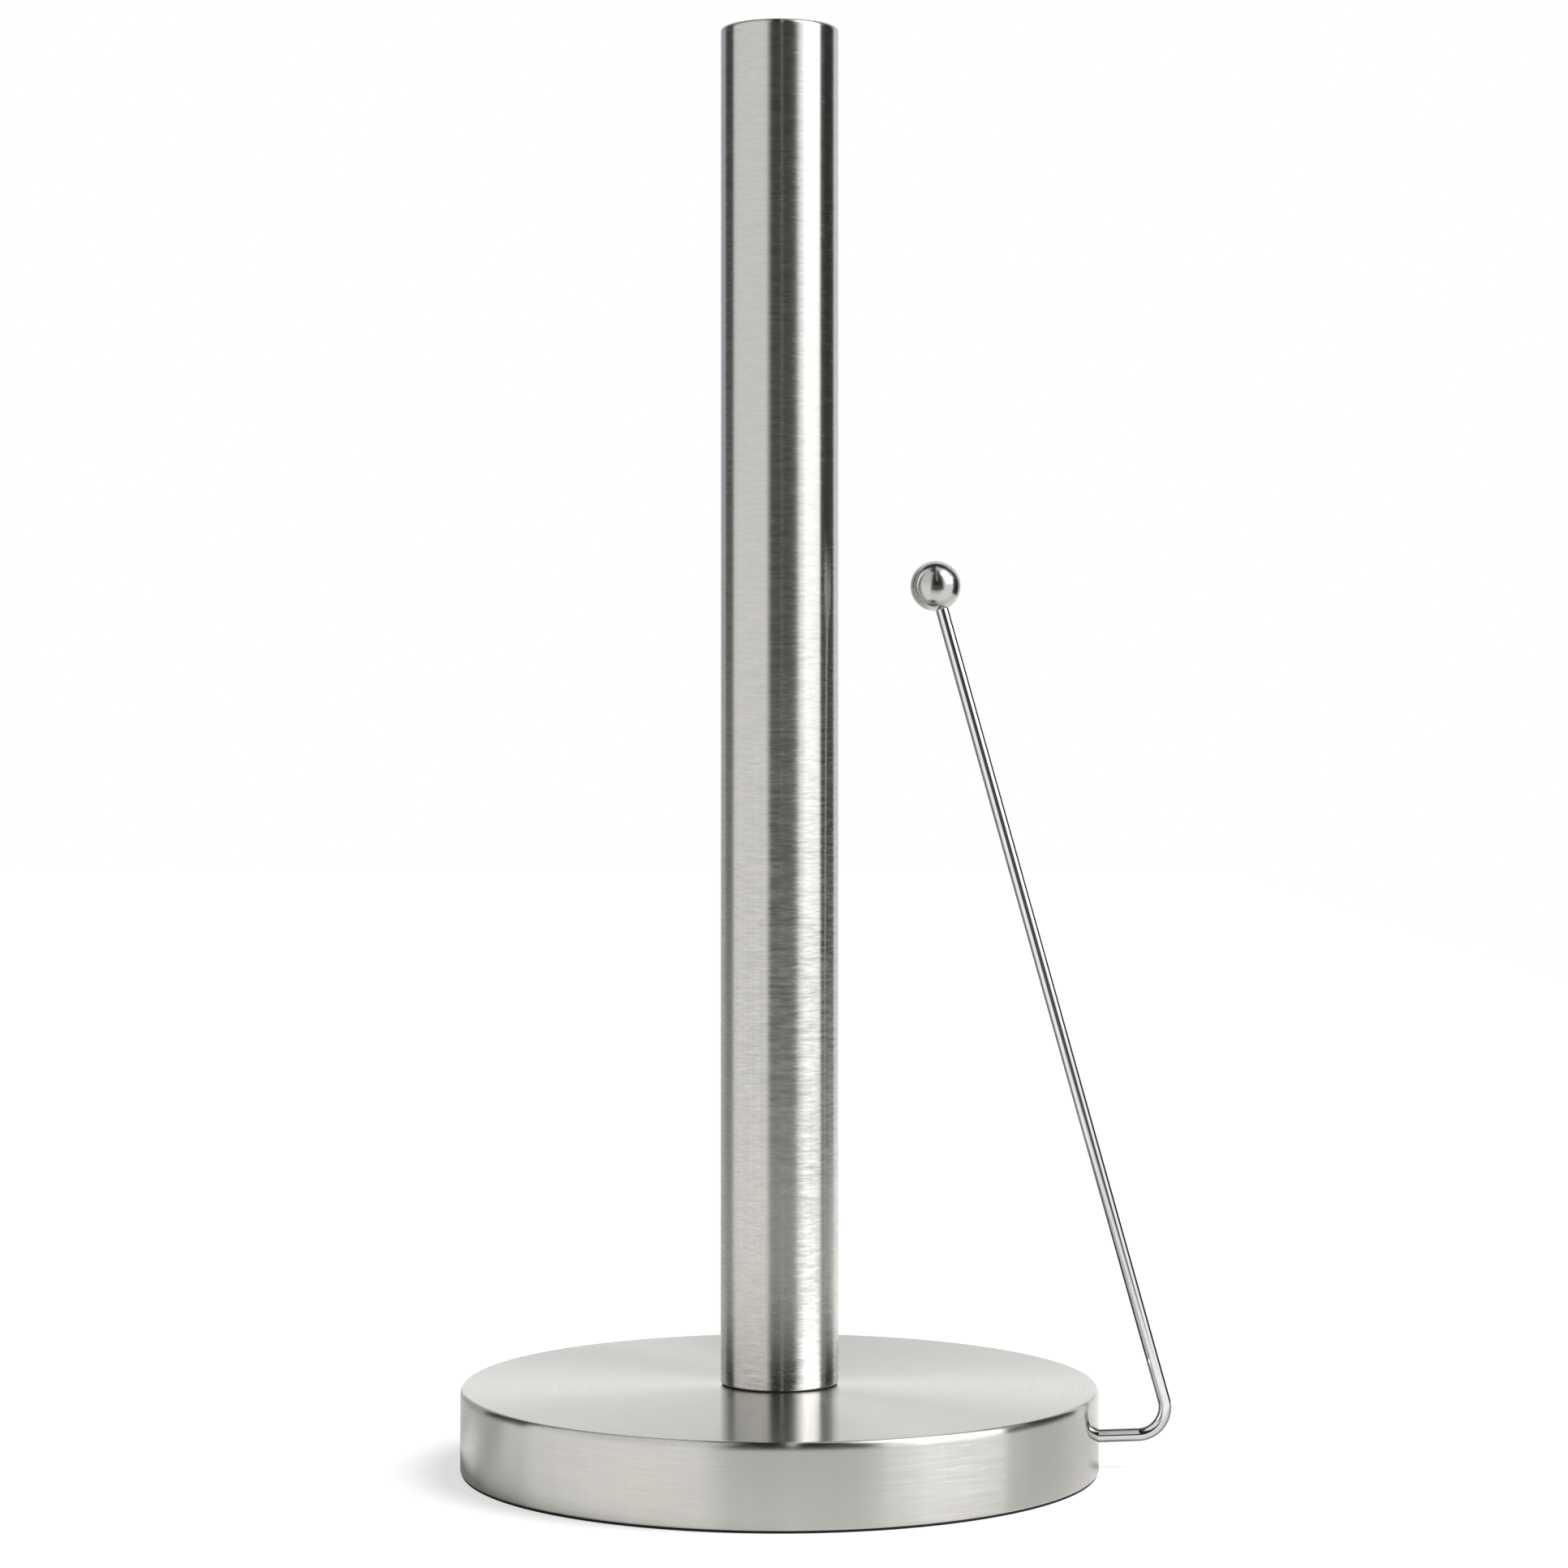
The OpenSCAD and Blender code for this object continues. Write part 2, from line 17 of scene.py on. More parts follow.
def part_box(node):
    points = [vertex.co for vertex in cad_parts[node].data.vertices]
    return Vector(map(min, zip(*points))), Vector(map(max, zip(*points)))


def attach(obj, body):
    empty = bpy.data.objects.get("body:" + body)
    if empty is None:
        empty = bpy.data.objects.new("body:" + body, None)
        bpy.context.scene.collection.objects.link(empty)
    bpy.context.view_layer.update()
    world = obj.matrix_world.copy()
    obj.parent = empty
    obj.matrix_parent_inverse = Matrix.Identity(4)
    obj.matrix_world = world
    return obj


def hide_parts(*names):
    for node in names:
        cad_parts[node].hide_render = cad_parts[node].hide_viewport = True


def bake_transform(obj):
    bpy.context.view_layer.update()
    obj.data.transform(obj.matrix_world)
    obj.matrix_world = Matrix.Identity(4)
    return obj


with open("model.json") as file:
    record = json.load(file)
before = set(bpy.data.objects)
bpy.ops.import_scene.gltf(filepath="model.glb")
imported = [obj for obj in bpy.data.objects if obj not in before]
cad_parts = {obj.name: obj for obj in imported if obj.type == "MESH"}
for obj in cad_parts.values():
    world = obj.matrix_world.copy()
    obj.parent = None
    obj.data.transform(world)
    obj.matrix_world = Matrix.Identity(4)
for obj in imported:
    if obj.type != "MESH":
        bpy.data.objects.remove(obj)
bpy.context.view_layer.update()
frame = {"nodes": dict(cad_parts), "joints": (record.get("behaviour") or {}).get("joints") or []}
mm = 0.001

# %% [markdown]
# ## Sizes from the frame
# Each CAD node's box gives the sizes that matter: how wide and high a piece is, and where it
# starts. Only the finish needs sizes of its own, such as how soft an edge was polished.

# %% Main sizes
def top_of(node):
    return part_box(node)[1].z


def foot_of(node):
    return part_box(node)[0].z


def radius_of(node):
    """Half the width of a round CAD node that stands on the axis of the post, measured along Y."""
    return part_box(node)[1].y


base_r, base_foot, base_top = radius_of("base_shell"), foot_of("base_shell"), top_of("base_shell")
post_r, tube_foot, tube_top = radius_of("post_tube"), foot_of("post_tube"), top_of("post_tube")
post_top = top_of("post_cap")
sheet = 1.0 * mm
print(f"base {2 * base_r / mm:.1f} mm across, {base_top / mm:.1f} mm high")
print(f"post {2 * post_r / mm:.1f} mm across, {post_top / mm:.1f} mm high")

# %% [markdown]
# ## Camera
# The holder is seen from straight in front, level, with the lens at about half its height. A level
# camera keeps the post's sides parallel, and a small vertical shift frames the object instead of a
# tilt.

# %% Camera
LENS_MM, SENSOR_MM = 89.33, 36
EYE = (0, -1.0453, 0.20135)
SHIFT = (0.00285, -0.0422)


def show(thing):
    bpy.context.scene.collection.objects.link(thing)
    return thing


def make_camera():
    data = bpy.data.cameras.new("front_camera")
    data.lens, data.sensor_width = LENS_MM, SENSOR_MM
    data.shift_x, data.shift_y = SHIFT
    data.clip_start, data.clip_end = 0.01, 50
    camera = show(bpy.data.objects.new("front_camera", data))
    camera.location = EYE
    camera.rotation_euler = (radians(90), 0, 0)
    bpy.context.scene.camera = camera
    return camera


camera = make_camera()
print("camera", round(-camera.location.y, 3), "m in front,", camera.data.lens, "mm lens")

# %% [markdown]
# ## Small helpers for node trees
# Node trees are quicker to read as text when a node is one line. `add` makes a node, sets its
# options and feeds its inputs: a value is typed in, and a socket is linked. `out` does the same and
# gives back the first output. `group` makes a tree with named inputs, so that it serves many pieces.

# %% Node helpers
def feed(tree, node, inputs):
    """inputs maps a socket's name or number to a value or to the output that feeds it."""
    for key, value in inputs.items():
        if isinstance(value, bpy.types.NodeSocket):
            tree.links.new(value, node.inputs[key])
        else:
            node.inputs[key].default_value = value


def add(tree, kind, inputs=None, **options):
    node = tree.nodes.new(kind)
    for name, value in options.items():
        setattr(node, name, value)
    feed(tree, node, inputs or {})
    return node


def out(tree, kind, inputs=None, **options):
    return add(tree, kind, inputs, **options).outputs[0]


def group(name, kind, inputs, outputs):
    """A node group and its inputs. A socket's name goes with its type, or with the number it starts at."""
    tree = bpy.data.node_groups.new(name, kind)
    for direction, sockets in (("INPUT", inputs), ("OUTPUT", outputs)):
        for label, value in sockets.items():
            known = value if isinstance(value, str) else {int: "Int", float: "Float"}[type(value)]
            socket = tree.interface.new_socket(label, in_out=direction, socket_type="NodeSocket" + known)
            if value != known:
                socket.default_value = value
    return tree, add(tree, "NodeGroupInput").outputs


print("tree helpers ready")

# %% [markdown]
# ## Arithmetic in nodes
# A pattern is arithmetic on a place: it is scaled, added up and squeezed into a range. These few
# helpers each stand for one kind of node, so that a pattern reads like a formula.

# %% Arithmetic helpers
def maths(tree, operation, a, b=0.0):
    return out(tree, "ShaderNodeMath", {0: a, 1: b}, operation=operation)


def times(tree, first, *others):
    for other in others:
        first = maths(tree, "MULTIPLY", first, other)
    return first


def plus(tree, a, b):
    return maths(tree, "ADD", a, b)


def less(tree, a, b):
    return maths(tree, "SUBTRACT", a, b)


def ramp(tree, value, low, high, to_low=0.0, to_high=1.0, kind="SMOOTHSTEP"):
    """Carries value from low..high to to_low..to_high, with soft ends."""
    sockets = {"Value": value, "From Min": low, "From Max": high, "To Min": to_low, "To Max": to_high}
    return out(tree, "ShaderNodeMapRange", sockets, interpolation_type=kind)


def mixed(tree, factor, a, b, kind="RGBA"):
    first, result = {"RGBA": (6, 2), "FLOAT": (2, 0)}[kind]
    return add(tree, "ShaderNodeMix", {0: factor, first: a, first + 1: b}, data_type=kind).outputs[result]


def split(tree, vector):
    return add(tree, "ShaderNodeSeparateXYZ", {0: vector}).outputs


def joined(tree, **parts):
    return out(tree, "ShaderNodeCombineXYZ", parts)


def vector_maths(tree, operation, inputs, output=0):
    return add(tree, "ShaderNodeVectorMath", inputs, operation=operation).outputs[output]


def object_place(tree):
    return add(tree, "ShaderNodeTexCoord").outputs["Object"]


def noise(tree, place, scale, detail, roughness=0.5):
    sockets = {"Vector": place, "Scale": scale, "Detail": detail, "Roughness": roughness}
    return out(tree, "ShaderNodeTexNoise", sockets)


DEGREES = 180 / pi
print("arithmetic helpers ready; one radian is", round(DEGREES, 1), "degrees")

# %% [markdown]
# ## Studio
# Steel has hardly any colour of its own: it shows what stands round it. A studio for steel is
# therefore white all round, with a few dark flags and grey cards that draw stripes on the post.
# They could be real planes, but they would then show in other views and throw shadows. Here they
# are painted on the world by direction: azimuth 0 is the camera's side, and 90 is the right.

# %% World directions
scene = bpy.context.scene
scene.view_settings.view_transform = "Standard"
world = bpy.data.worlds.new("studio")
scene.world = world
world.use_nodes = True
world.cycles.sampling_method = "NONE"
sky = world.node_tree
sky.nodes.clear()
direction = add(sky, "ShaderNodeTexCoord").outputs["Generated"]
parts = split(sky, direction)
toward_camera = times(sky, parts["Y"], -1.0)
azimuth = times(sky, maths(sky, "ARCTAN2", parts["X"], toward_camera), DEGREES)
elevation = times(sky, maths(sky, "ARCSINE", parts["Z"]), DEGREES)
over_top = times(sky, maths(sky, "ARCTAN2", parts["Z"], toward_camera), DEGREES)
print("world directions ready")

# %% [markdown]
# ## Cards, strips and a softbox
# A card fills a block of azimuths and elevations. A strip runs from side to side overhead, as the
# gap between two ceiling panels does. The softbox is a flat rectangle, much brighter than paper.

# %% Card helpers
def between(value, low, high, soft_low, soft_high):
    """1 between low and high, fading over soft_low and soft_high about them."""
    rise = ramp(sky, value, low - soft_low / 2, low + soft_low / 2)
    fall = ramp(sky, value, high - soft_high / 2, high + soft_high / 2, 1.0, 0.0)
    return times(sky, rise, fall)


def cards(behind, rows):
    """Lays cards over what is behind them, the first row first."""
    for colour, sides, heights, soft_sides, soft_heights in rows:
        mask = times(sky, between(azimuth, *sides, *soft_sides), between(elevation, *heights, *soft_heights))
        behind = mixed(sky, mask, behind, (*colour, 1))
    return behind


def strip(behind, colour, sideways, sides, turns):
    mask = times(sky, between(sideways, *sides), between(over_top, *turns))
    return mixed(sky, mask, behind, (*colour, 1))


def softbox(behind, level, at, width, low, high, soft):
    """Lays a flat softbox over what is behind it. It faces the object from (azimuth, elevation)."""
    a, e = map(radians, at)
    facing = Vector((sin(a) * cos(e), -cos(a) * cos(e), sin(e)))
    across = Vector((cos(a), sin(a), 0))
    ahead, right, rise = (vector_maths(sky, "DOT_PRODUCT", {0: direction, 1: axis}, "Value")
                          for axis in (facing, across, across.cross(facing)))
    depth = maths(sky, "MAXIMUM", ahead, 0.001)
    right = between(maths(sky, "DIVIDE", right, depth), -width, width, soft, soft)
    rise = between(maths(sky, "DIVIDE", rise, depth), low, high, soft * 2, soft)
    mask = times(sky, right, rise, maths(sky, "GREATER_THAN", ahead, 0.01))
    return mixed(sky, mask, behind, (level, level, level, 1))


print("card helpers ready")

# %% [markdown]
# ## The cards round the holder
# Each row is a card's colour, its azimuths, its elevations, and how soft its sides and its ends
# are, all in degrees. The steel mirrors the left cards on its left side and the right ones on its
# right, so the rows read as the stripes on the post do. A stripe is as soft as its card's side.

# %% Cards
PAPER = (0.90, 0.90, 0.895, 1)
BLACK_LEFT, BLACK_RIGHT, GAP = (0.020, 0.0185, 0.018), (0.024, 0.023, 0.022), (0.035, 0.034, 0.033)
AROUND = [
    ((0.97, 0.955, 0.925), (-104, -22), (-91, 91), (5, 5), (8, 8)),  # wide warm card on the left
    ((0.78, 0.77, 0.745), (-104, -22), (9, 91), (5, 5), (26, 8)),  # its dimmer upper half
    ((0.44, 0.44, 0.47), (-158, -126), (-91, 35), (8, 4), (8, 20)),  # grey card, left and behind
    (BLACK_LEFT, (-130, -101), (-91, 80), (4, 5), (8, 20)),  # flag on the left
    ((0.77, 0.77, 0.81), (124, 160), (-91, 60), (5, 10), (8, 8)),  # pale card, right and behind
    ((1.0, 0.995, 0.98), (38, 90), (-91, 91), (5, 5), (8, 8))]  # white card on the right
IN_FRONT = [
    ((0.020, 0.0195, 0.020), (-21, 35.5), (-91, 91), (14, 13), (8, 8)),  # flag in front
    ((0.088, 0.086, 0.084), (-21, 35.5), (-91, 2), (14, 13), (8, 12))]  # its lower half, lit by the table
ON_THE_RIGHT = [
    ((0.60, 0.60, 0.60), (86, 112), (30, 91), (4, 6), (10, 8)),  # grey card, high up
    (BLACK_RIGHT, (87, 131), (-91, 24), (4, 4), (8, 14)),  # flag on the right
    (BLACK_RIGHT, (106, 131), (20, 80), (6, 4), (8, 10))]  # its upper part
seen = cards(PAPER, AROUND)
seen = strip(seen, GAP, parts["X"], (-0.75, 0.66, 0.3, 0.25), (99, 125, 6, 8))  # gap behind the top
seen = strip(seen, GAP, parts["X"], (-0.29, 0.08, 0.1, 0.1), (66, 106, 8, 6))  # joint in the top
seen = cards(seen, IN_FRONT)
# A thin pale slit parts the flag in front, and leans a little.
slanted = plus(sky, parts["X"], times(sky, parts["Z"], 0.0314))
seen = strip(seen, (0.70, 0.69, 0.67), slanted, (0.063, 0.114, 0.01, 0.01), (21, 99, 3, 6))
seen = softbox(seen, level=3.3, at=(70, 42), width=0.385, low=-0.36, high=0.62, soft=0.06)
seen = cards(seen, ON_THE_RIGHT)
print("studio:", len(AROUND + IN_FRONT + ON_THE_RIGHT), "cards, 3 strips and a softbox")

# %% [markdown]
# ## Who sees the studio
# Only glossy rays see the cards. The camera sees plain white, which leaves the object free on the
# page, and diffuse surfaces get an even dim fill, so that a dark card never dulls the rubber.

# %% World output
WHITE, FILL_LEVEL = (1, 1, 1, 1), 0.2
path = add(sky, "ShaderNodeLightPath").outputs


def background(colour, strength):
    return out(sky, "ShaderNodeBackground", {"Color": colour, "Strength": strength})


plain, fill, studio = background(WHITE, 1.0), background(WHITE, FILL_LEVEL), background(seen, 1.0)
glossy = out(sky, "ShaderNodeMixShader", {0: path["Is Glossy Ray"], 1: fill, 2: studio})
clear = maths(sky, "MAXIMUM", path["Is Camera Ray"], path["Is Transmission Ray"])
whole = out(sky, "ShaderNodeMixShader", {0: clear, 1: glossy, 2: plain})
add(sky, "ShaderNodeOutputWorld", {"Surface": whole})
print("world:", len(sky.nodes), "nodes")

# %% [markdown]
# ## Lamp
# One soft sun, high on the right, gives the light level and the short shadow on the left. It is
# hidden from glossy rays, because the softbox already stands for it in the steel.

# %% Lamp
SUN_LEVEL, SUN_SPREAD = 3.0, radians(40)
SUN_SIDE, SUN_HEIGHT = radians(88), radians(58)


def make_lamp():
    data = bpy.data.lights.new("soft_sun", "SUN")
    data.energy, data.angle = SUN_LEVEL, SUN_SPREAD
    lamp = show(bpy.data.objects.new("soft_sun", data))
    toward = Vector((sin(SUN_SIDE) * cos(SUN_HEIGHT), -cos(SUN_SIDE) * cos(SUN_HEIGHT), sin(SUN_HEIGHT)))
    lamp.rotation_mode = "QUATERNION"
    lamp.rotation_quaternion = toward.to_track_quat("Z", "Y")
    lamp.visible_glossy = False
    return lamp


lamp = make_lamp()
print("lamp:", lamp.data.energy, "over", round(degrees(lamp.data.angle)), "degrees")

# %% [markdown]
# ## Table
# For the camera the table is white except where the shadow falls. In the steel it is a pale sheet
# with painted shade and light: it darkens towards its front edge and in two patches behind the
# holder, and it is lifted beside the base's left side. Its tone is a product of ramps on the place
# on the table: how far round the holder and how far from it.

# %% Table tone, painted for reflections
FARTHER_BACK = 133.0  # degrees for a root metre beyond the base


def painted_table_tone(tree):
    place = split(tree, object_place(tree))
    x, y = place["X"], place["Y"]
    turn = times(tree, maths(tree, "ARCTAN2", x, times(tree, y, -1.0)), DEGREES)
    apart = maths(tree, "SQRT", plus(tree, times(tree, x, x), times(tree, y, y)))
    in_front = times(tree, ramp(tree, turn, -30, -16), ramp(tree, turn, 26, 40, 1.0, 0.0))
    # Painted shade: the tone darkens towards the table's front edge.
    forward = mixed(tree, in_front, 1.0, ramp(tree, y, -0.60, -0.05, 0.36, 1.0, "LINEAR"), "FLOAT")
    # The farther out a place lies, the farther back the base's wall mirrors it.
    beyond = maths(tree, "SQRT", maths(tree, "MAXIMUM", less(tree, apart, base_r), 0.0))
    mirrored_at = plus(tree, turn, times(tree, beyond, FARTHER_BACK))
    # Painted light: the table is lifted beside the base's left side, where the real shadow falls.
    lift = plus(tree, ramp(tree, apart, 0.17, 0.22, 0.55, 0.0), ramp(tree, apart, 0.089, 0.105, 1.6, 0.0))
    left_painted_light = times(tree, ramp(tree, mirrored_at, -80, -64, 1.0, 0.0), lift)
    left_line, right_line = plus(tree, y, times(tree, x, 0.33)), plus(tree, y, times(tree, x, -0.255))
    # Painted shade: two dark patches behind the holder, one on each side of it.
    left_painted_shade = times(tree, ramp(tree, left_line, -0.066, -0.042), ramp(tree, x, -0.03, 0.0, 1.0, 0.0), 0.36)
    right_painted_shade = times(tree, ramp(tree, right_line, -0.118, -0.068), ramp(tree, x, 0.0, 0.03),
                       ramp(tree, turn, 104, 124, 1.0, 0.25), 0.27)
    # More painted shade and light: darker round to the back left, lighter far behind and farther out.
    return times(tree, forward, ramp(tree, turn, -118, -98, 0.64, 1.0),
                 ramp(tree, turn, -160, -145, 1.4, 1.0), plus(tree, 1.0, left_painted_light),
                 ramp(tree, apart, 0.15, 0.22, 1.0, 1.12),
                 less(tree, 1.0, left_painted_shade), less(tree, 1.0, right_painted_shade))


print("table tone ready")

# %% [markdown]
# ## Table material and sheet
# Light Path picks one of three looks: a plain pale sheet for the light, the same sheet with a glow
# that lifts it to white for the camera, and the sheet with painted shade and light for reflections.

# %% Table
TABLE_SHEET = (-4, 0.6, -0.6, 4)  # its left, right, front and back edges


def new_material(name):
    material = bpy.data.materials.new(name)
    material.use_nodes = True
    material.node_tree.nodes.clear()
    return material, material.node_tree


def table_material():
    material, tree = new_material("white_table")
    path = add(tree, "ShaderNodeLightPath").outputs
    # The tone that only reflections see is painted shade and light.
    tone = mixed(tree, painted_table_tone(tree), (0, 0, 0, 1), (1, 0.985, 0.955, 1))
    plain, dim, mirrored = (out(tree, "ShaderNodeBsdfDiffuse", {"Color": colour})
                            for colour in ((0.80, 0.80, 0.80, 1), (0.55, 0.55, 0.55, 1), tone))
    glow = out(tree, "ShaderNodeEmission", {"Strength": 0.60})
    camera_look = out(tree, "ShaderNodeAddShader", {0: dim, 1: glow})
    first = out(tree, "ShaderNodeMixShader", {0: path["Is Camera Ray"], 1: plain, 2: camera_look})
    last = out(tree, "ShaderNodeMixShader", {0: path["Is Glossy Ray"], 1: first, 2: mirrored})
    add(tree, "ShaderNodeOutputMaterial", {"Surface": last})
    material.cycles.emission_sampling = "NONE"
    return material


def make_table(left, right, front, back):
    mesh = bpy.data.meshes.new("table")
    corners = [(left, front, 0), (right, front, 0), (right, back, 0), (left, back, 0)]
    mesh.from_pydata(corners, [], [(0, 1, 2, 3)])
    mesh.materials.append(table_material())
    table = show(bpy.data.objects.new("table", mesh))
    return table


table = make_table(*TABLE_SHEET)
print("table", [round(d, 2) for d in table.dimensions[:2]], "m")

# %% [markdown]
# ## Grain
# Brushing leaves fine lines round the axis. The pattern is noise that is read along the circle
# slowly and across it fast: the direction from the axis gives the place on the circle, without a
# seam, and radius plus height gives the place across it, on the wall and on the flat top alike.
# A drawn tube also has faint lines along it, from the die; they come from the direction alone.

# %% Grain group
def grain_group():
    tree, given = group("Turned grain", "ShaderNodeTree",
                        {"Lines": 3000.0, "Round": 5.0, "Seed": 0.0},
                        {"Fine": "Float", "Coarse": "Float", "Drawn": "Float"})
    xyz = split(tree, object_place(tree))
    flat = joined(tree, X=xyz["X"], Y=xyz["Y"])
    spoke = vector_maths(tree, "NORMALIZE", {0: flat})
    across = plus(tree, vector_maths(tree, "LENGTH", {0: flat}, "Value"), xyz["Z"])

    def lines(round_scale, line_scale, detail):
        turned = vector_maths(tree, "SCALE", {0: spoke, 3: round_scale})
        lift = joined(tree, Z=plus(tree, times(tree, across, line_scale), given["Seed"]))
        return noise(tree, vector_maths(tree, "ADD", {0: turned, 1: lift}), 1.0, detail, 0.6)

    fine = lines(given["Round"], given["Lines"], 2.0)
    coarse = lines(times(tree, given["Round"], 0.5), times(tree, given["Lines"], 0.36), 3.0)
    drawn = lines(55.0, 6.0, 2.0)
    add(tree, "NodeGroupOutput", {"Fine": fine, "Coarse": coarse, "Drawn": drawn})
    return tree


grain = grain_group()
print("grain group:", [s.name for s in grain.interface.items_tree])

# %% [markdown]
# ## Handling marks and moulded skin
# Nothing that has been made and packed by hand is evenly clean: there are broad soft patches where
# it was wiped or touched. Anything cast or moulded has a skin of fine dimples from its mould. Both
# are groups, since most pieces have one or the other, each at its own scale.

# %% Handling and skin groups
def handling_group():
    tree, given = group("Handling marks", "ShaderNodeTree", {"Scale": 60.0, "Seed": 0.0},
                        {"Smudge": "Float", "Dust": "Float"})
    seeded = {"Vector": object_place(tree), "W": given["Seed"]}
    cloudy = {**seeded, "Scale": given["Scale"], "Detail": 3.0, "Roughness": 0.55, "Distortion": 0.6}
    gritty = {**seeded, "Scale": times(tree, given["Scale"], 14.0), "Detail": 1.0}
    cloud, grit = (out(tree, "ShaderNodeTexNoise", sockets, noise_dimensions="4D")
                   for sockets in (cloudy, gritty))
    dust = times(tree, ramp(tree, grit, 0.58, 0.70), ramp(tree, cloud, 0.40, 0.65))
    add(tree, "NodeGroupOutput", {"Smudge": ramp(tree, cloud, 0.34, 0.68), "Dust": dust})
    return tree


def skin_group():
    tree, given = group("Moulded skin", "ShaderNodeTree", {"Scale": 2000.0},
                        {"Tone": "Float", "Height": "Float"})
    place = object_place(tree)
    cells = add(tree, "ShaderNodeTexVoronoi", {"Vector": place, "Scale": given["Scale"]}, feature="SMOOTH_F1")
    cloud = noise(tree, place, times(tree, given["Scale"], 0.35), 4.0, 0.6)
    height = plus(tree, times(tree, cells.outputs["Distance"], 0.6), cloud)
    add(tree, "NodeGroupOutput", {"Tone": cloud, "Height": height})
    return tree


handling = handling_group()
skin = skin_group()
print("shared groups:", [g.name for g in bpy.data.node_groups])

# %% [markdown]
# ## What every finish starts from
# A finish is one Principled BSDF with its patterns beside it. The shader stays in the material, and
# only the patterns are groups, so that each finish can be read on its own.

# %% Material helpers
def material_start(name):
    material, tree = new_material(name)
    shader = add(tree, "ShaderNodeBsdfPrincipled")
    add(tree, "ShaderNodeOutputMaterial", {"Surface": shader.outputs[0]})
    return material, tree, shader


def placed(tree, effect, **values):
    """Puts a shared group in a material with its own values, and gives back its outputs."""
    return add(tree, "ShaderNodeGroup", values, node_tree=effect).outputs


def scaled(tree, colour, tone):
    return vector_maths(tree, "SCALE", {0: colour, 3: tone})


def bump(tree, height, distance):
    return out(tree, "ShaderNodeBump", {"Height": height, "Strength": 1.0, "Distance": distance})


print("material helpers ready")

# %% [markdown]
# ## Brushed steel
# A belt leaves grooves that run one way, so light is thrown wide across the grooves and hardly along
# them. The shader's anisotropy does that; its tangent follows the circle round the post's axis. The
# colour and the roughness vary with the grain, and a very low bump breaks the reflections up. The
# tone also carries painted light: it is lifted on the base's top face and just above the base on the post.

# %% Brushed steel
def brushed_steel(name, lines, around, roughness, keen, relief, streak, painted_top_from, painted_foot_lift, seed):
    """Turned steel. lines and around scale its grain, and streak is how far the tone of the lines spreads.

    Above painted_top_from the tone is lifted a little: painted light that brightens the top face. keen is how
    much
    of the roughness the wall loses where the eye grazes it, and painted_foot_lift lifts the tone just above
    the base:
    painted light that stands in for light reflected there.
    """
    material, tree, shader = material_start(name)
    pattern = placed(tree, grain, Lines=lines, Round=around, Seed=seed)
    marks = placed(tree, handling, Scale=26.0, Seed=seed)
    fine, coarse, drawn = pattern["Fine"], pattern["Coarse"], pattern["Drawn"]
    height = split(tree, object_place(tree))["Z"]
    rubbed = ramp(tree, height, 0.10, 0.26, 1.0, 0.33)

    shade = times(tree, fine, coarse, ramp(tree, drawn, 0.3, 0.7, 0.85, 1.15, "LINEAR"))
    tone = times(tree, ramp(tree, shade, 0.10, 0.40, -streak, streak, "LINEAR"), rubbed)
    # Painted light: the top face's tone is lifted above the wall's.
    tone = plus(tree, tone, ramp(tree, height, painted_top_from, painted_top_from + 0.4 * mm, 0.62, 0.685))
    # Painted light: the tone is lifted just above the base, brightening the post's foot.
    tone = times(tree, tone, ramp(tree, height, base_top, base_top + 90 * mm, painted_foot_lift, 1.0))

    rough = ramp(tree, fine, 0.3, 0.7, roughness - 0.02, roughness + 0.02, "LINEAR")
    rough = plus(tree, rough, times(tree, marks["Smudge"], 0.012))
    wavy = times(tree, ramp(tree, coarse, 0.35, 0.65, -streak, streak, "LINEAR"), rubbed)
    rough = plus(tree, rough, times(tree, wavy, 0.35))
    facing = add(tree, "ShaderNodeLayerWeight", {"Blend": 0.5}).outputs["Facing"]
    on_wall = ramp(tree, height, painted_top_from - 2.2 * mm, painted_top_from - 1.2 * mm, keen, 0.0)
    grazing = times(tree, ramp(tree, facing, 0.52, 0.80), on_wall)

    grooves = plus(tree, plus(tree, times(tree, fine, 1.8), coarse), times(tree, drawn, 0.6))
    along = out(tree, "ShaderNodeTangent", direction_type="RADIAL", axis="Z")
    feed(tree, shader, {
        "Base Color": scaled(tree, (1.01, 1.0, 0.965), tone), "Metallic": 1.0,
        "Roughness": times(tree, rough, less(tree, 1.0, grazing)),
        "Anisotropic": 1.0, "Anisotropic Rotation": 0.25, "Tangent": along,
        "Normal": bump(tree, times(tree, grooves, rubbed), relief)})
    return material


ABOVE_ALL = 1.0  # the whole post lies below this, so all of it has the wall's finish and none of the top face's painted light
# The post's foot gets painted light: its tone is lifted by up to 12% just above the base.
post_steel = brushed_steel("brushed_post_steel", lines=3200.0, around=5.0, roughness=0.24, keen=0.35,
                           relief=0.0006 * mm, streak=0.13, painted_top_from=ABOVE_ALL, painted_foot_lift=1.12, seed=3.0)
# The base's top face gets painted light: its tone is lifted where the top begins.
base_steel = brushed_steel("brushed_base_steel", lines=3200.0, around=9.0, roughness=0.21, keen=0.70,
                           relief=0.0003 * mm, streak=0.045, painted_top_from=base_top - 0.6 * mm,
                           painted_foot_lift=1.0, seed=11.0)
print("brushed steel:", post_steel.name, base_steel.name)

# %% [markdown]
# ## Polished steel
# The arm is buffed to a near mirror with a slight haze, and its ball is a little duller. The wire's
# dark edges are painted shade: the colour falls off where the steel turns away from the eye.

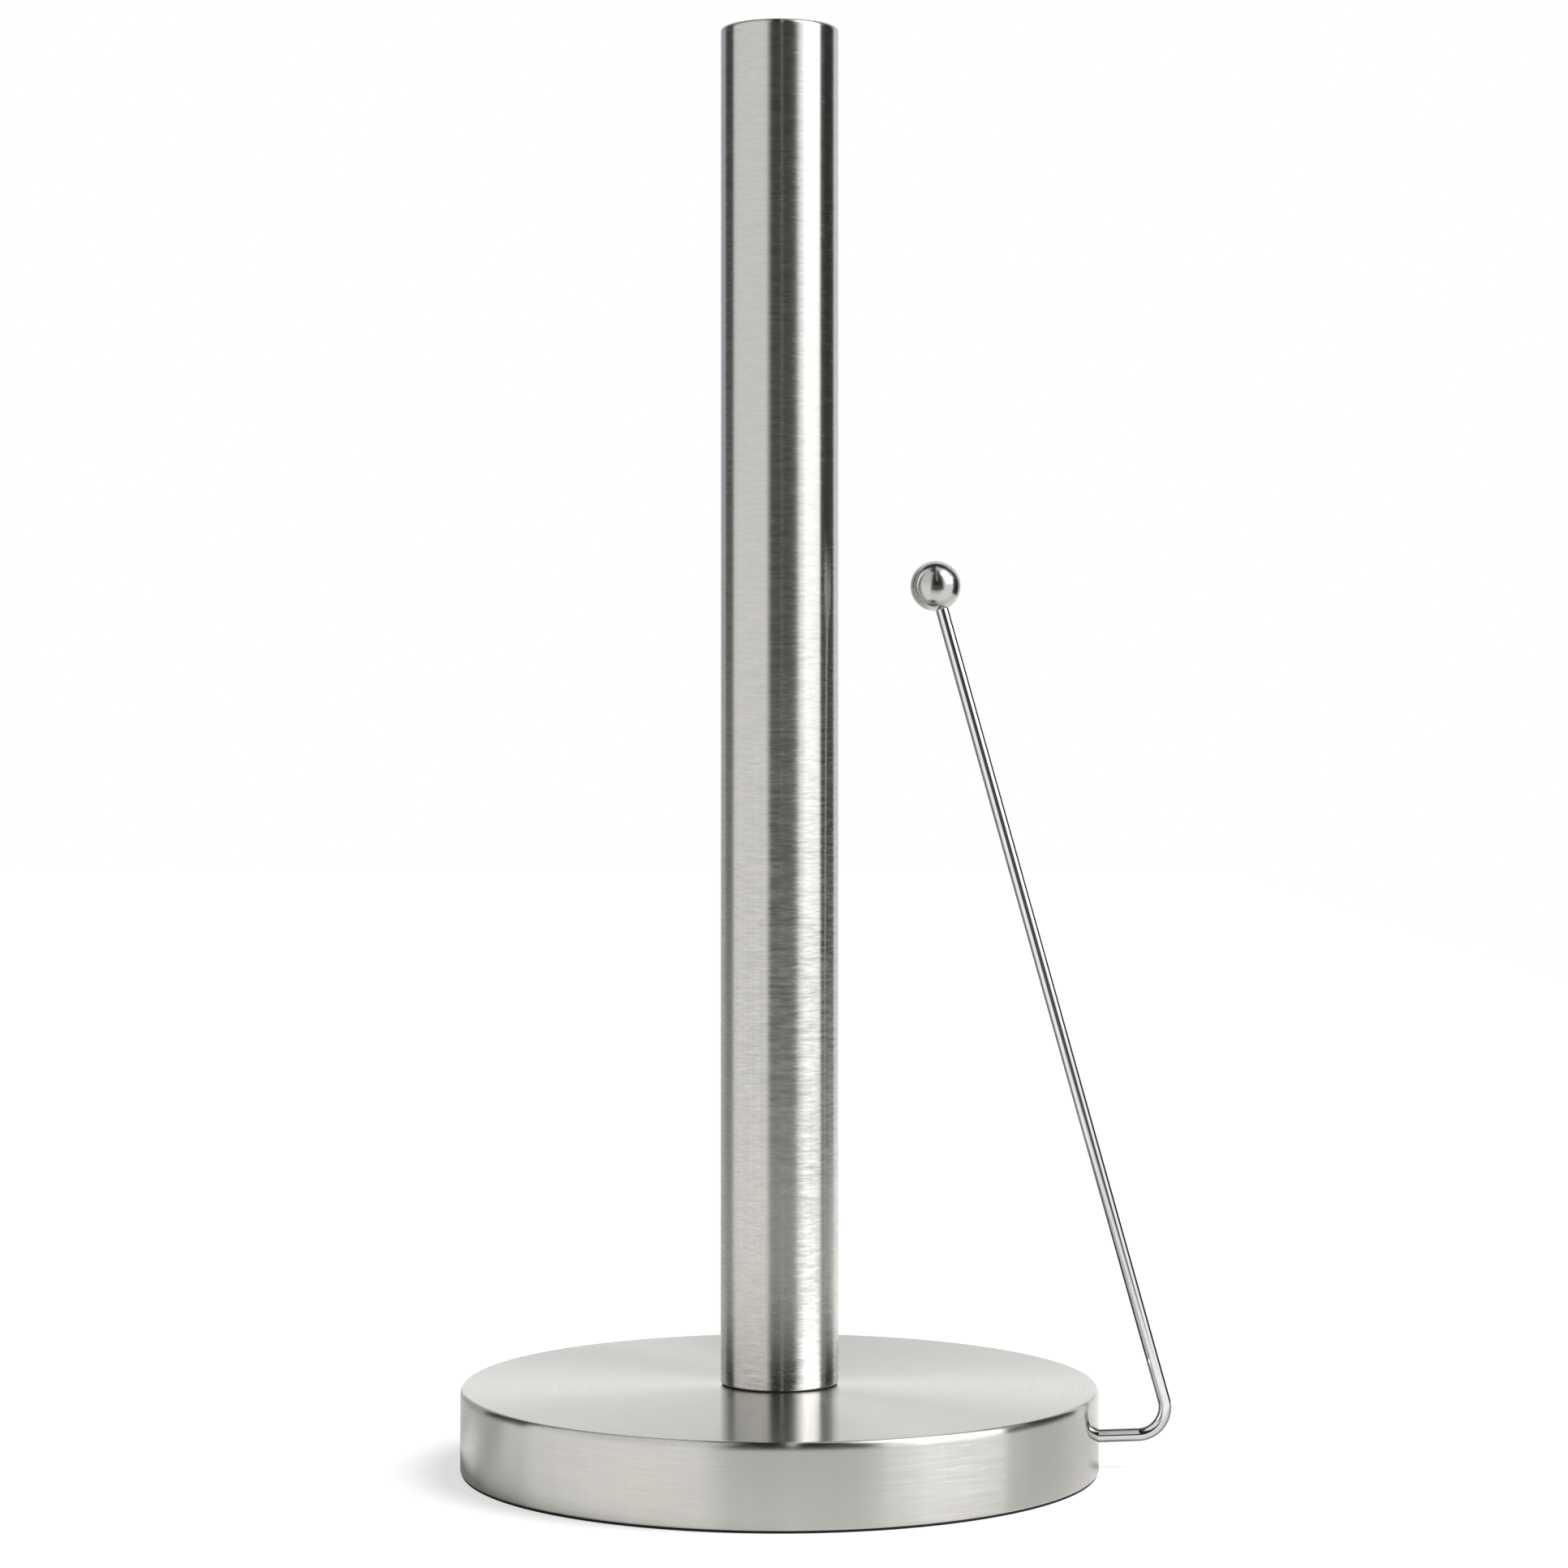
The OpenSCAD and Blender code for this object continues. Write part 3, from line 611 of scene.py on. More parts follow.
# %% Polished steel
def polished_steel(name, dull, bright, roughness, rim):
    """rim is how much of its tone the steel keeps where it turns away from the eye: painted shade on its
    edges.
    """
    material, tree, shader = material_start(name)
    marks = placed(tree, handling, Scale=90.0, Seed=2.0)
    facing = add(tree, "ShaderNodeLayerWeight", {"Blend": 0.5}).outputs["Facing"]
    # Painted shade: the tone falls off towards the edges, where dark surroundings would show.
    kept = ramp(tree, facing, 0.22, 0.42, 1.0, rim)
    ripple = noise(tree, object_place(tree), 260.0, 1.0)
    feed(tree, shader, {
        "Base Color": scaled(tree, mixed(tree, marks["Smudge"], bright, dull), kept), "Metallic": 1.0,
        "Roughness": plus(tree, roughness, times(tree, marks["Smudge"], 0.03)),
        "Normal": bump(tree, ripple, 0.0002 * mm)})
    return material


mirror_steel = polished_steel("polished_wire_steel", (0.82, 0.82, 0.835, 1), (0.86, 0.86, 0.87, 1),
                              roughness=0.05, rim=0.34)
ball_steel = polished_steel("polished_ball_steel", (0.57, 0.565, 0.56, 1), (0.63, 0.625, 0.62, 1),
                            roughness=0.18, rim=0.95)
print("polished steel:", mirror_steel.name, ball_steel.name)

# %% [markdown]
# ## Plated and plain hardware
# What holds the holder together inside is plain hardware: zinc plate with its crystals, and spring
# wire dark with oil. Cells give the crystals, and noise that is stretched one way gives the streaks
# that rolling and drawing leave.

# %% Plated and plain hardware
def hardware_steel(name, dull, bright, roughness, flakes, seed):
    """Zinc plate shows crystals about a millimetre across; rolled wire and sheet show streaks."""
    material, tree, shader = material_start(name)
    marks = placed(tree, handling, Scale=110.0, Seed=seed)
    place = object_place(tree)
    crystal = add(tree, "ShaderNodeTexVoronoi", {"Vector": place, "Scale": flakes}).outputs["Color"]
    flake = out(tree, "ShaderNodeSeparateColor", {0: crystal})
    stretch = {"Vector": place, "Rotation": (0, 0, 0.5), "Scale": (300, 5200, 3000)}
    streak = noise(tree, out(tree, "ShaderNodeMapping", stretch), 1.0, 2.0)
    tone = plus(tree, times(tree, flake, 0.5), times(tree, streak, 0.5))
    colour = mixed(tree, tone, dull, bright)
    rough = plus(tree, times(tree, flake, 0.10), times(tree, marks["Smudge"], 0.08))
    feed(tree, shader, {
        "Base Color": mixed(tree, times(tree, marks["Dust"], 0.5), colour, (0.30, 0.29, 0.27, 1)),
        "Metallic": 1.0, "Roughness": plus(tree, rough, roughness),
        "Normal": bump(tree, streak, 0.004 * mm)})
    return material


zinc_plate = hardware_steel("zinc_plate", (0.50, 0.51, 0.53, 1), (0.66, 0.67, 0.68, 1),
                            roughness=0.26, flakes=900.0, seed=5.0)
zinc_screw = hardware_steel("zinc_screw_steel", (0.56, 0.57, 0.59, 1), (0.70, 0.71, 0.72, 1),
                            roughness=0.22, flakes=2600.0, seed=6.0)
spring_wire = hardware_steel("oiled_spring_steel", (0.20, 0.20, 0.205, 1), (0.34, 0.335, 0.33, 1),
                             roughness=0.24, flakes=2400.0, seed=7.0)
print("hardware finishes:", zinc_plate.name, zinc_screw.name, spring_wire.name)

# %% [markdown]
# ## Iron, rubber and plastic
# These four share a recipe: a moulded or cast skin for colour and bump, handling marks for sheen, and
# their own colours. Cast iron has the coarsest skin, acetal the finest.

# %% Cast and moulded finishes
def moulded(name, dark, light, roughness, dimples, deep, seed):
    """dimples is how close the skin's cells lie, and deep is how far they go in."""
    material, tree, shader = material_start(name)
    surface = placed(tree, skin, Scale=dimples)
    marks = placed(tree, handling, Scale=70.0, Seed=seed)
    colour = mixed(tree, ramp(tree, surface["Tone"], 0.3, 0.7, kind="LINEAR"), dark, light)
    dusty = [min(1.0, c * 1.25 + 0.035) for c in light[:3]] + [1]
    feed(tree, shader, {
        "Base Color": mixed(tree, times(tree, marks["Dust"], 0.6), colour, dusty),
        "Roughness": plus(tree, roughness, times(tree, marks["Smudge"], -0.10)),
        "Normal": bump(tree, surface["Height"], deep)})
    return material


rubber = moulded("black_rubber", (0.012, 0.012, 0.012, 1), (0.028, 0.028, 0.028, 1),
                 roughness=0.78, dimples=2600.0, deep=0.02 * mm, seed=8.0)
iron = moulded("dipped_cast_iron", (0.040, 0.040, 0.042, 1), (0.085, 0.084, 0.082, 1),
               roughness=0.66, dimples=700.0, deep=0.12 * mm, seed=9.0)
nylon = moulded("black_nylon", (0.016, 0.016, 0.017, 1), (0.030, 0.030, 0.031, 1),
                roughness=0.52, dimples=3200.0, deep=0.01 * mm, seed=10.0)
acetal = moulded("natural_acetal", (0.74, 0.73, 0.68, 1), (0.81, 0.80, 0.75, 1),
                 roughness=0.46, dimples=3800.0, deep=0.005 * mm, seed=12.0)
print("moulded finishes:", rubber.name, iron.name, nylon.name, acetal.name)

# %% [markdown]
# ## A lathe made of nodes
# The base, the tube, its cap, the gasket, the pad, the screws and the ball are all turned shapes:
# half an outline swept round an axis. One Geometry Nodes tree does that for all of them.

# %% Lathe tree
def shape_tree(name, inputs):
    """A Geometry Nodes tree with these inputs, the piece's material, and one piece as its output."""
    return group(name, "GeometryNodeTree", {**inputs, "Material": "Material"}, {"Piece": "Geometry"})


def finished(tree, shape, given):
    """The last nodes of every tree: real geometry, with its material, as the only output."""
    real = out(tree, "GeometryNodeRealizeInstances", {0: shape})
    done = out(tree, "GeometryNodeSetMaterial", {"Geometry": real, "Material": given["Material"]})
    add(tree, "NodeGroupOutput", {0: done})
    return tree


def lathe_tree():
    tree, given = shape_tree("Lathe", {"Outline": "Geometry", "Hub radius": mm, "Steps": 256,
                                       "Weld": 0.002 * mm})
    outline = out(tree, "GeometryNodeMeshToCurve", {"Mesh": given["Outline"]})
    at = split(tree, out(tree, "GeometryNodeInputPosition"))
    drawn_at = joined(tree, X=less(tree, at["X"], given["Hub radius"]), Y=times(tree, at["Y"], -1.0))
    profile = out(tree, "GeometryNodeSetPosition", {"Geometry": outline, "Position": drawn_at})
    circle = out(tree, "GeometryNodeCurvePrimitiveCircle",
                 {"Resolution": given["Steps"], "Radius": given["Hub radius"]}, mode="RADIUS")
    upright = out(tree, "GeometryNodeSetCurveNormal", {0: circle}, mode="Z_UP")
    turned = out(tree, "GeometryNodeCurveToMesh", {"Curve": upright, "Profile Curve": profile})
    welded = out(tree, "GeometryNodeMergeByDistance", {"Geometry": turned, "Distance": given["Weld"]})
    return finished(tree, welded, given)


lathe = lathe_tree()
print("lathe:", len(lathe.nodes), "nodes")

# %% [markdown]
# ## Outlines and routes
# A turner works from half a section, and a wire bender from a route. Both are a mesh of points and
# edges here. A soft corner is an arc, of an ellipse where the edge was rolled off taller than wide.

# %% Outlines and routes
def arc(centre, radius, start, end, steps, tall=None):
    """Points from angle start to end, in degrees, 0 outwards and 90 up; tall is an ellipse's height."""
    turns = [radians(start + (end - start) * i / steps) for i in range(steps + 1)]
    return [(centre[0] + radius * cos(t), centre[1] + (tall or radius) * sin(t)) for t in turns]


def line_mesh(name, points, closed):
    mesh = bpy.data.meshes.new(name)
    edges = [(i, i + 1) for i in range(len(points) - 1)]
    if closed:
        edges.append((len(points) - 1, 0))
    mesh.from_pydata([Vector(p).to_3d() for p in points], edges, [])
    return mesh


print("half a circle in 2 steps:", [[round(x, 3) for x in point] for point in arc((0, 0), 1, -90, 90, 2)])

# %% [markdown]
# ## From an outline to a piece
# The trees turn an outline into a solid, the solid is kept as a plain mesh, and its shading is
# smoothed except over real corners. The count of open edges and the volume are printed: a closed
# solid has no open edge, and its volume says whether a wall is missing.

# %% Make a piece from trees
CREASE = radians(32)


def tidy_mesh(mesh, place):
    """Turns all faces outwards, smooths the shading except over sharp corners, and moves the mesh."""
    shape = bmesh.new()
    shape.from_mesh(mesh)
    bmesh.ops.recalc_face_normals(shape, faces=shape.faces)
    open_edges = sum(1 for e in shape.edges if len(e.link_faces) != 2)
    shape.to_mesh(mesh)
    volume = shape.calc_volume(signed=True)
    shape.free()
    if place is not None:
        mesh.transform(place)
    mesh.shade_smooth()
    mesh.set_sharp_from_angle(angle=CREASE)
    return open_edges, volume


def make_piece(name, start, material, *steps, place=None):
    """Runs start through each (tree, values) in turn and keeps the result as a plain mesh."""
    piece = show(bpy.data.objects.new(name, start))
    for tree, values in steps:
        modifier = piece.modifiers.new(tree.name, "NODES")
        modifier.node_group = tree
        values = {**values, "Material": material}
        for socket in tree.interface.items_tree:
            if socket.in_out == "INPUT" and socket.name in values:
                modifier[socket.identifier] = values[socket.name]
    evaluated = piece.evaluated_get(bpy.context.evaluated_depsgraph_get())
    plain = bpy.data.meshes.new_from_object(evaluated)
    piece.modifiers.clear()
    plain.name = name
    piece.data = plain
    open_edges, volume = tidy_mesh(plain, place)
    print(f"{name}: {len(plain.polygons)} faces, {open_edges} open edges, {volume * 1e6:.2f} cm3")
    return piece


def lathe_piece(name, outline, closed, flats, material, *steps, place=None):
    """A turned piece. flats is how many sides its circles have; steps may then cut it or copy it."""
    start = line_mesh(name + "_outline", outline, closed)
    return make_piece(name, start, material, (lathe, {"Steps": flats}), *steps, place=place)


print("pieces are smoothed up to", round(degrees(CREASE)), "degrees")

# %% [markdown]
# ## A slot cut by nodes
# A press cuts the slot that the arm moves in: upright, with round ends. The cutter is a lying
# cylinder that is pulled apart at its middle, and it goes through one wall of the piece only.

# %% Slot tree
def cut_out(tree, piece, cutter):
    meshes = {"Mesh 1": piece, "Mesh 2": cutter}
    return out(tree, "GeometryNodeMeshBoolean", meshes, operation="DIFFERENCE")


def slot_tree():
    tree, given = shape_tree("Wall slot", {"Piece": "Geometry", "Width": mm, "Low": 0.0, "High": mm,
                                           "Near": 0.0, "Far": mm})
    rod = out(tree, "GeometryNodeMeshCylinder", {
        "Vertices": 42, "Radius": times(tree, given["Width"], 0.5),
        "Depth": less(tree, given["Far"], given["Near"])})
    lying = out(tree, "GeometryNodeTransform", {"Geometry": rod, "Rotation": (0, pi / 2, 0)})
    z = split(tree, out(tree, "GeometryNodeInputPosition"))["Z"]
    pull = times(tree, less(tree, less(tree, given["High"], given["Low"]), given["Width"]), 0.5)
    apart = joined(tree, Z=times(tree, maths(tree, "SIGN", z), pull))
    slotted = out(tree, "GeometryNodeSetPosition", {"Geometry": lying, "Offset": apart})
    middle = joined(tree, X=times(tree, plus(tree, given["Near"], given["Far"]), 0.5),
                    Z=times(tree, plus(tree, given["Low"], given["High"]), 0.5))
    cutter = out(tree, "GeometryNodeTransform", {"Geometry": slotted, "Translation": middle})
    return finished(tree, cut_out(tree, given["Piece"], cutter), given)


wall_slot = slot_tree()
print("slot tree:", len(wall_slot.nodes), "nodes")

# %% [markdown]
# ## Rings made of nodes
# Screws and their holes stand on a circle, as a drilling jig would set them out. Both trees take
# their points from the same function: one puts copies of a piece there, and the other drills there.

# %% Ring tree and drill tree
RING_SOCKETS = {"Piece": "Geometry", "Count": 4, "Ring radius": mm, "First angle": 0.0, "Centre": "Vector"}


def on_ring(tree, given, piece):
    """Copies of a piece on a circle round its centre, the first of them at the first angle."""
    index = out(tree, "GeometryNodeInputIndex")
    step = maths(tree, "DIVIDE", 2 * pi, given["Count"])
    angle = plus(tree, times(tree, index, step), given["First angle"])
    x, y = (times(tree, maths(tree, way, angle), given["Ring radius"]) for way in ("COSINE", "SINE"))
    place = vector_maths(tree, "ADD", {0: joined(tree, X=x, Y=y), 1: given["Centre"]})
    points = out(tree, "GeometryNodePoints", {"Count": given["Count"], "Position": place})
    return out(tree, "GeometryNodeInstanceOnPoints", {"Points": points, "Instance": piece})


def set_out_tree():
    tree, given = shape_tree("Set out on a ring", RING_SOCKETS)
    return finished(tree, on_ring(tree, given, given["Piece"]), given)


def drill_tree():
    tree, given = shape_tree("Ring of holes", {**RING_SOCKETS, "Hole radius": mm, "Depth": mm})
    size = {"Vertices": 48, "Radius": given["Hole radius"], "Depth": given["Depth"]}
    drill = out(tree, "GeometryNodeMeshCylinder", size)
    drills = out(tree, "GeometryNodeRealizeInstances", {0: on_ring(tree, given, drill)})
    return finished(tree, cut_out(tree, given["Piece"], drills), given)


set_out, ring_of_holes = set_out_tree(), drill_tree()
print("ring trees:", set_out.name, "and", ring_of_holes.name)

# %% [markdown]
# ## A cross recess made of nodes
# A punch presses the cross into a screw's head. Here two flat blades cut it, one after the other.
# The second goes a little deeper, so that no two of their faces coincide.

# %% Cross recess tree
SECOND_BLADE = 1.03


def recess_tree():
    tree, given = shape_tree("Cross recess", {"Piece": "Geometry", "Reach": mm, "Width": mm,
                                              "Face": 0.0, "Depth": mm})
    piece, tall = given["Piece"], times(tree, given["Depth"], 2.0)
    for x, y, share in (("Reach", "Width", 1.0), ("Width", "Reach", SECOND_BLADE)):
        size = joined(tree, X=given[x], Y=given[y], Z=times(tree, tall, share))
        blade = out(tree, "GeometryNodeMeshCube", {"Size": size})
        pressed_in = {"Geometry": blade, "Translation": joined(tree, Z=given["Face"])}
        piece = cut_out(tree, piece, out(tree, "GeometryNodeTransform", pressed_in))
    return finished(tree, piece, given)


cross_recess = recess_tree()
print("recess tree:", len(cross_recess.nodes), "nodes")

# %% [markdown]
# ## The base
# A disc of sheet steel drawn into a shallow can. The press leaves the top dead flat in the
# middle and rolls it off over the last few millimetres into a soft edge that is taller than wide.

# %% Base
BOLT_HOLE_R = 4.3 * mm
SLOT_WIDTH, SLOT_LOW, SLOT_HIGH = 5.1 * mm, 2.826 * mm, 11.001 * mm


def base_outline():
    flat_r = base_r - 8 * mm
    edge_across, edge_down, drop, lip, bend = 1.0 * mm, 2.3 * mm, 0.10 * mm, 0.4 * mm, 0.3 * mm
    shoulder_r, shoulder_z = base_r - edge_across, base_top - drop
    outer = [(BOLT_HOLE_R, base_top), (0.5 * flat_r, base_top)]
    for share in (i / 6 for i in range(6)):
        outer.append((flat_r + (shoulder_r - flat_r) * share, base_top - drop * share * share))
    wall_top, wall_foot = shoulder_z - edge_down, base_foot + lip
    outer += arc((shoulder_r, wall_top), edge_across, 88, 0, 14, tall=edge_down)
    between_ends = [wall_top + (wall_foot - wall_top) * i / 4 for i in (1, 2, 3)]
    outer += [(base_r, z) for z in (wall_top - 0.4 * mm, *between_ends, wall_foot + 0.3 * mm)]
    outer += arc((base_r - lip, base_foot + lip), lip, 0, -90, 6)
    inner_r, inner_top = base_r - sheet, base_top - sheet
    inner = [(inner_r, base_foot), (inner_r, inner_top - 0.4 * mm)]
    inner += arc((inner_r - bend, inner_top - bend), bend, 10, 90, 4)
    return outer + inner + [(BOLT_HOLE_R, inner_top)]


wire_travel = {"Width": SLOT_WIDTH, "Low": SLOT_LOW, "High": SLOT_HIGH,
               "Near": base_r - 3 * mm, "Far": base_r + 2 * mm}
base = lathe_piece("brushed_base", base_outline(), True, 384, base_steel, (wall_slot, wire_travel))
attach(base, "stand")
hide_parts("base_shell")

# %% [markdown]
# ## The post
# A length of stainless tube, its foot rounded where it was faced off, and a turned cap whose spigot
# fits inside it. The cap has the tube's own width, so that only a fine seam shows where they meet.

# %% Tube and cap
def tube_outline():
    edge, rows = 0.4 * mm, 16
    foot = arc((post_r - edge, tube_foot + edge), edge, -90, 0, 6)
    wall = [(post_r, tube_foot + edge + 0.3 * mm)]
    wall += [(post_r, tube_foot + (tube_top - tube_foot) * i / rows) for i in range(1, rows + 1)]
    return foot + wall + [(post_r - sheet, tube_top), (post_r - sheet, tube_foot)]


def cap_outline():
    edge, spigot_wall, play = 1.2 * mm, 1.2 * mm, 0.05 * mm
    spigot_r, spigot_foot = post_r - sheet - play, foot_of("post_cap")
    face = [(0, post_top), (0.5 * post_r, post_top), (post_r - edge - 0.4 * mm, post_top)]
    rim = arc((post_r - edge, post_top - edge), edge, 90, 0, 10)
    wall = [(post_r, post_top - edge - 0.3 * mm), (post_r, tube_top), (spigot_r, tube_top)]
    inside = [(spigot_r - spigot_wall, spigot_foot), (spigot_r - spigot_wall, tube_top), (0, tube_top)]
    return face + rim + wall + [(spigot_r, spigot_foot)] + inside


tube = lathe_piece("brushed_tube", tube_outline(), True, 256, post_steel)
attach(tube, "stand")
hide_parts("post_tube")
cap = lathe_piece("tube_end_cap", cap_outline(), False, 256, post_steel)
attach(cap, "stand")
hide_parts("post_cap")

# %% [markdown]
# ## Wire made of nodes
# Wire is bent round a former, so a route of straight lines with a fillet at each corner says all
# there is to say about it. A circle swept along the route makes the arm and the spring alike.

# %% Wire tree
def wire_tree():
    tree, given = shape_tree("Bent wire", {"Route": "Geometry", "Wire radius": mm, "Bend radius": 0.0,
                                           "Bend steps": 1, "Sides": 24})
    route = out(tree, "GeometryNodeMeshToCurve", {"Mesh": given["Route"]})
    bends = {"Curve": route, "Radius": given["Bend radius"], "Count": given["Bend steps"]}
    bent = out(tree, "GeometryNodeFilletCurve", bends, mode="POLY")
    section = out(tree, "GeometryNodeCurvePrimitiveCircle",
                  {"Resolution": given["Sides"], "Radius": given["Wire radius"]}, mode="RADIUS")
    sweep = {"Curve": bent, "Profile Curve": section, "Fill Caps": True}
    return finished(tree, out(tree, "GeometryNodeCurveToMesh", sweep), given)


wire = wire_tree()
print("wire tree:", len(wire.nodes), "nodes")

# %% [markdown]
# ## The arm
# One wire, bent once. Its short leg starts in the lever under the base and rises slightly towards
# the elbow; its long leg leans in towards the roll and ends inside the ball.

# %% Arm
joint = next(j for j in frame["joints"] if j["name"] == "arm_tilt")
hinge = Vector(joint["pos_m"])
wire_d, ball_d = 3.5 * mm, 13.5 * mm
rise, lean = radians(1.8), radians(15.68)
elbow_r, past_base, long_leg, in_lever = 7.4 * mm, 20.3 * mm, 236.45 * mm, 3.2 * mm
socket_deep, socket_gap = 5 * mm, 0.2 * mm
short_way = Vector((cos(rise), 0, sin(rise)))
long_way = Vector((-sin(lean), 0, cos(lean)))
corner = hinge + short_way * ((base_r - hinge.x + past_base) / cos(rise))
ball_at = corner + long_way * long_leg
wire_start = hinge + short_way * in_lever
wire_end = ball_at - long_way * (ball_d / 2 - socket_deep + socket_gap)
arm_bend = {"Wire radius": wire_d / 2, "Bend radius": elbow_r, "Bend steps": 28, "Sides": 32}
arm_route = line_mesh("arm_route", [wire_start, corner, wire_end], False)
arm = make_piece("bent_arm_wire", arm_route, mirror_steel, (wire, arm_bend))
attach(arm, "arm")
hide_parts("arm_wire")

# %% [markdown]
# ## The ball
# A steel ball, drilled for the wire and pressed onto it. The mouth of the hole has a small lead, and
# the ball is turned upright on the lathe and then tilted to the wire.

# %% Ball
def ball_outline():
    r, hole, lead = ball_d / 2, wire_d / 2 + 0.05 * mm, 0.35 * mm
    mouth = hole + lead
    start = -degrees(asin(sqrt(r * r - mouth * mouth) / r))
    shell = arc((0, 0), r, start, 90, 48)
    hole_end = -(r - socket_deep)
    return [(0, hole_end), (hole, hole_end), (hole, shell[0][1] + lead)] + shell


long_turn = long_way.to_track_quat("Z", "Y").to_matrix().to_4x4()
ball = lathe_piece("arm_tip_ball", ball_outline(), False, 96, ball_steel,
                   place=Matrix.Translation(ball_at) @ long_turn)
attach(ball, "arm")
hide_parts("arm_ball")

# %% [markdown]
# ## The foot pad
# The pad is moulded with rings on its underside, so that it grips and lets no water stand, and it
# steps out under the shell's lip, where it shows as a thin black line. Four holes clear the screws.

# %% Pad
PLATE_SCREW_D, BRACKET_SCREW_D = 4 * mm, 3 * mm
GROOVES, DIAGONAL = 20, radians(45)
pad_r, pad_top, bed_r = radius_of("foot_pad"), top_of("foot_pad"), radius_of("closing_plate")
rim_top = base_foot - 0.1 * mm


def head_radius(screw_d):
    return 0.9 * screw_d


def pad_outline():
    groove, half, deep, soft = 4.0 * mm, 0.7 * mm, 0.35 * mm, 0.12 * mm
    points = [(0, 0)]
    for at in (k * groove for k in range(1, GROOVES + 1)):
        points += [(at - half - soft, 0), (at - half, deep), (at + half, deep), (at + half + soft, 0)]
    points += [(pad_r - soft, 0), (pad_r, soft), (pad_r, rim_top - soft), (pad_r - soft, rim_top)]
    return points + [(bed_r, rim_top), (bed_r, pad_top), (0, pad_top)]


screw_ring = (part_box("plate_screws")[1].x - head_radius(PLATE_SCREW_D)) / cos(DIAGONAL)
plate_ring = {"Count": 4, "Ring radius": screw_ring, "First angle": DIAGONAL}
pad_holes = {**plate_ring, "Centre": (0, 0, pad_top / 2), "Hole radius": 4.5 * mm, "Depth": 3 * pad_top}
pad = lathe_piece("ringed_foot_pad", pad_outline(), False, 256, rubber, (ring_of_holes, pad_holes))
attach(pad, "stand")
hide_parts("foot_pad")
print("screws stand", round(screw_ring / mm, 2), "mm from the centre")

# %% [markdown]
# ## The gasket
# A thin ring, punched from rubber sheet, keeps the steel of the tube off the steel of the base. It
# shows as a fine black line under the tube.

# %% Gasket
def gasket_outline():
    outer, soft = radius_of("post_gasket"), 0.08 * mm
    low, high = foot_of("post_gasket"), top_of("post_gasket")
    return [(BOLT_HOLE_R, low), (outer - soft, low), (outer, low + soft),
            (outer, high - soft), (outer - soft, high), (BOLT_HOLE_R, high)]


gasket = lathe_piece("tube_gasket", gasket_outline(), True, 192, rubber)
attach(gasket, "stand")
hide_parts("post_gasket")

# %% [markdown]
# ## Screws
# A screw is turned, threaded and pressed: the lathe makes the head and a shank with its thread as a
# row of grooves, the recess tree presses the cross, and the ring tree sets the finished screw out.

# %% Screws
def screw_outline(d, length, head_h, pitch, head_soft):
    """Outline of a screw whose head hangs under z = 0 and whose shank rises from it."""
    head, shank, root, plain = head_radius(d), d / 2, d / 2 - 0.55 * pitch, 0.3 * mm
    points = [(0, -head_h)] + arc((head - head_soft, head_soft - head_h), head_soft, -90, 0, 6)
    points += [(head, 0), (shank, 0)]
    turns = int((length - 1.2 * mm) / pitch)
    for z in (plain + k * pitch for k in range(turns)):
        points += [(shank, z), (shank, z + 0.12 * pitch), (root, z + 0.5 * pitch), (root, z + 0.6 * pitch)]
    return points + [(shank, plain + turns * pitch), (shank, length - 0.5 * mm), (root, length), (0, length)]


def screw_set(name, node, d, length, head_h, deep, pitch, ring):
    outline = screw_outline(d, length, head_h, pitch, 0.3 * head_h)
    pressed = {"Reach": 0.85 * d, "Width": 0.6 * mm, "Face": -head_h, "Depth": deep}
    seat = Matrix.Translation((0, 0, top_of(node) - length))
    pieces = lathe_piece(name, outline, False, 48, zinc_screw, (cross_recess, pressed), (set_out, ring),
                         place=seat)
    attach(pieces, "stand")
    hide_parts(node)
    return pieces


low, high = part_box("bracket_screws")
bracket_ring = {"Count": 2, "Ring radius": high.y - head_radius(BRACKET_SCREW_D), "First angle": radians(90),
                "Centre": ((low.x + high.x) / 2, 0, 0)}
screw_set("closing_plate_screws", "plate_screws", PLATE_SCREW_D, length=8 * mm, head_h=1.1 * mm,
          deep=0.7 * mm, pitch=0.7 * mm, ring=plate_ring)
screw_set("hinge_bracket_screws", "bracket_screws", BRACKET_SCREW_D, length=6 * mm, head_h=1.8 * mm,
          deep=1.0 * mm, pitch=0.5 * mm, ring=bracket_ring)

# %% [markdown]
# ## The spring
# One wire makes both coils. Each coil starts with a leg that pushes up against the bracket and ends
# in a bridge that lies across the lever. Each half is swept along its route.

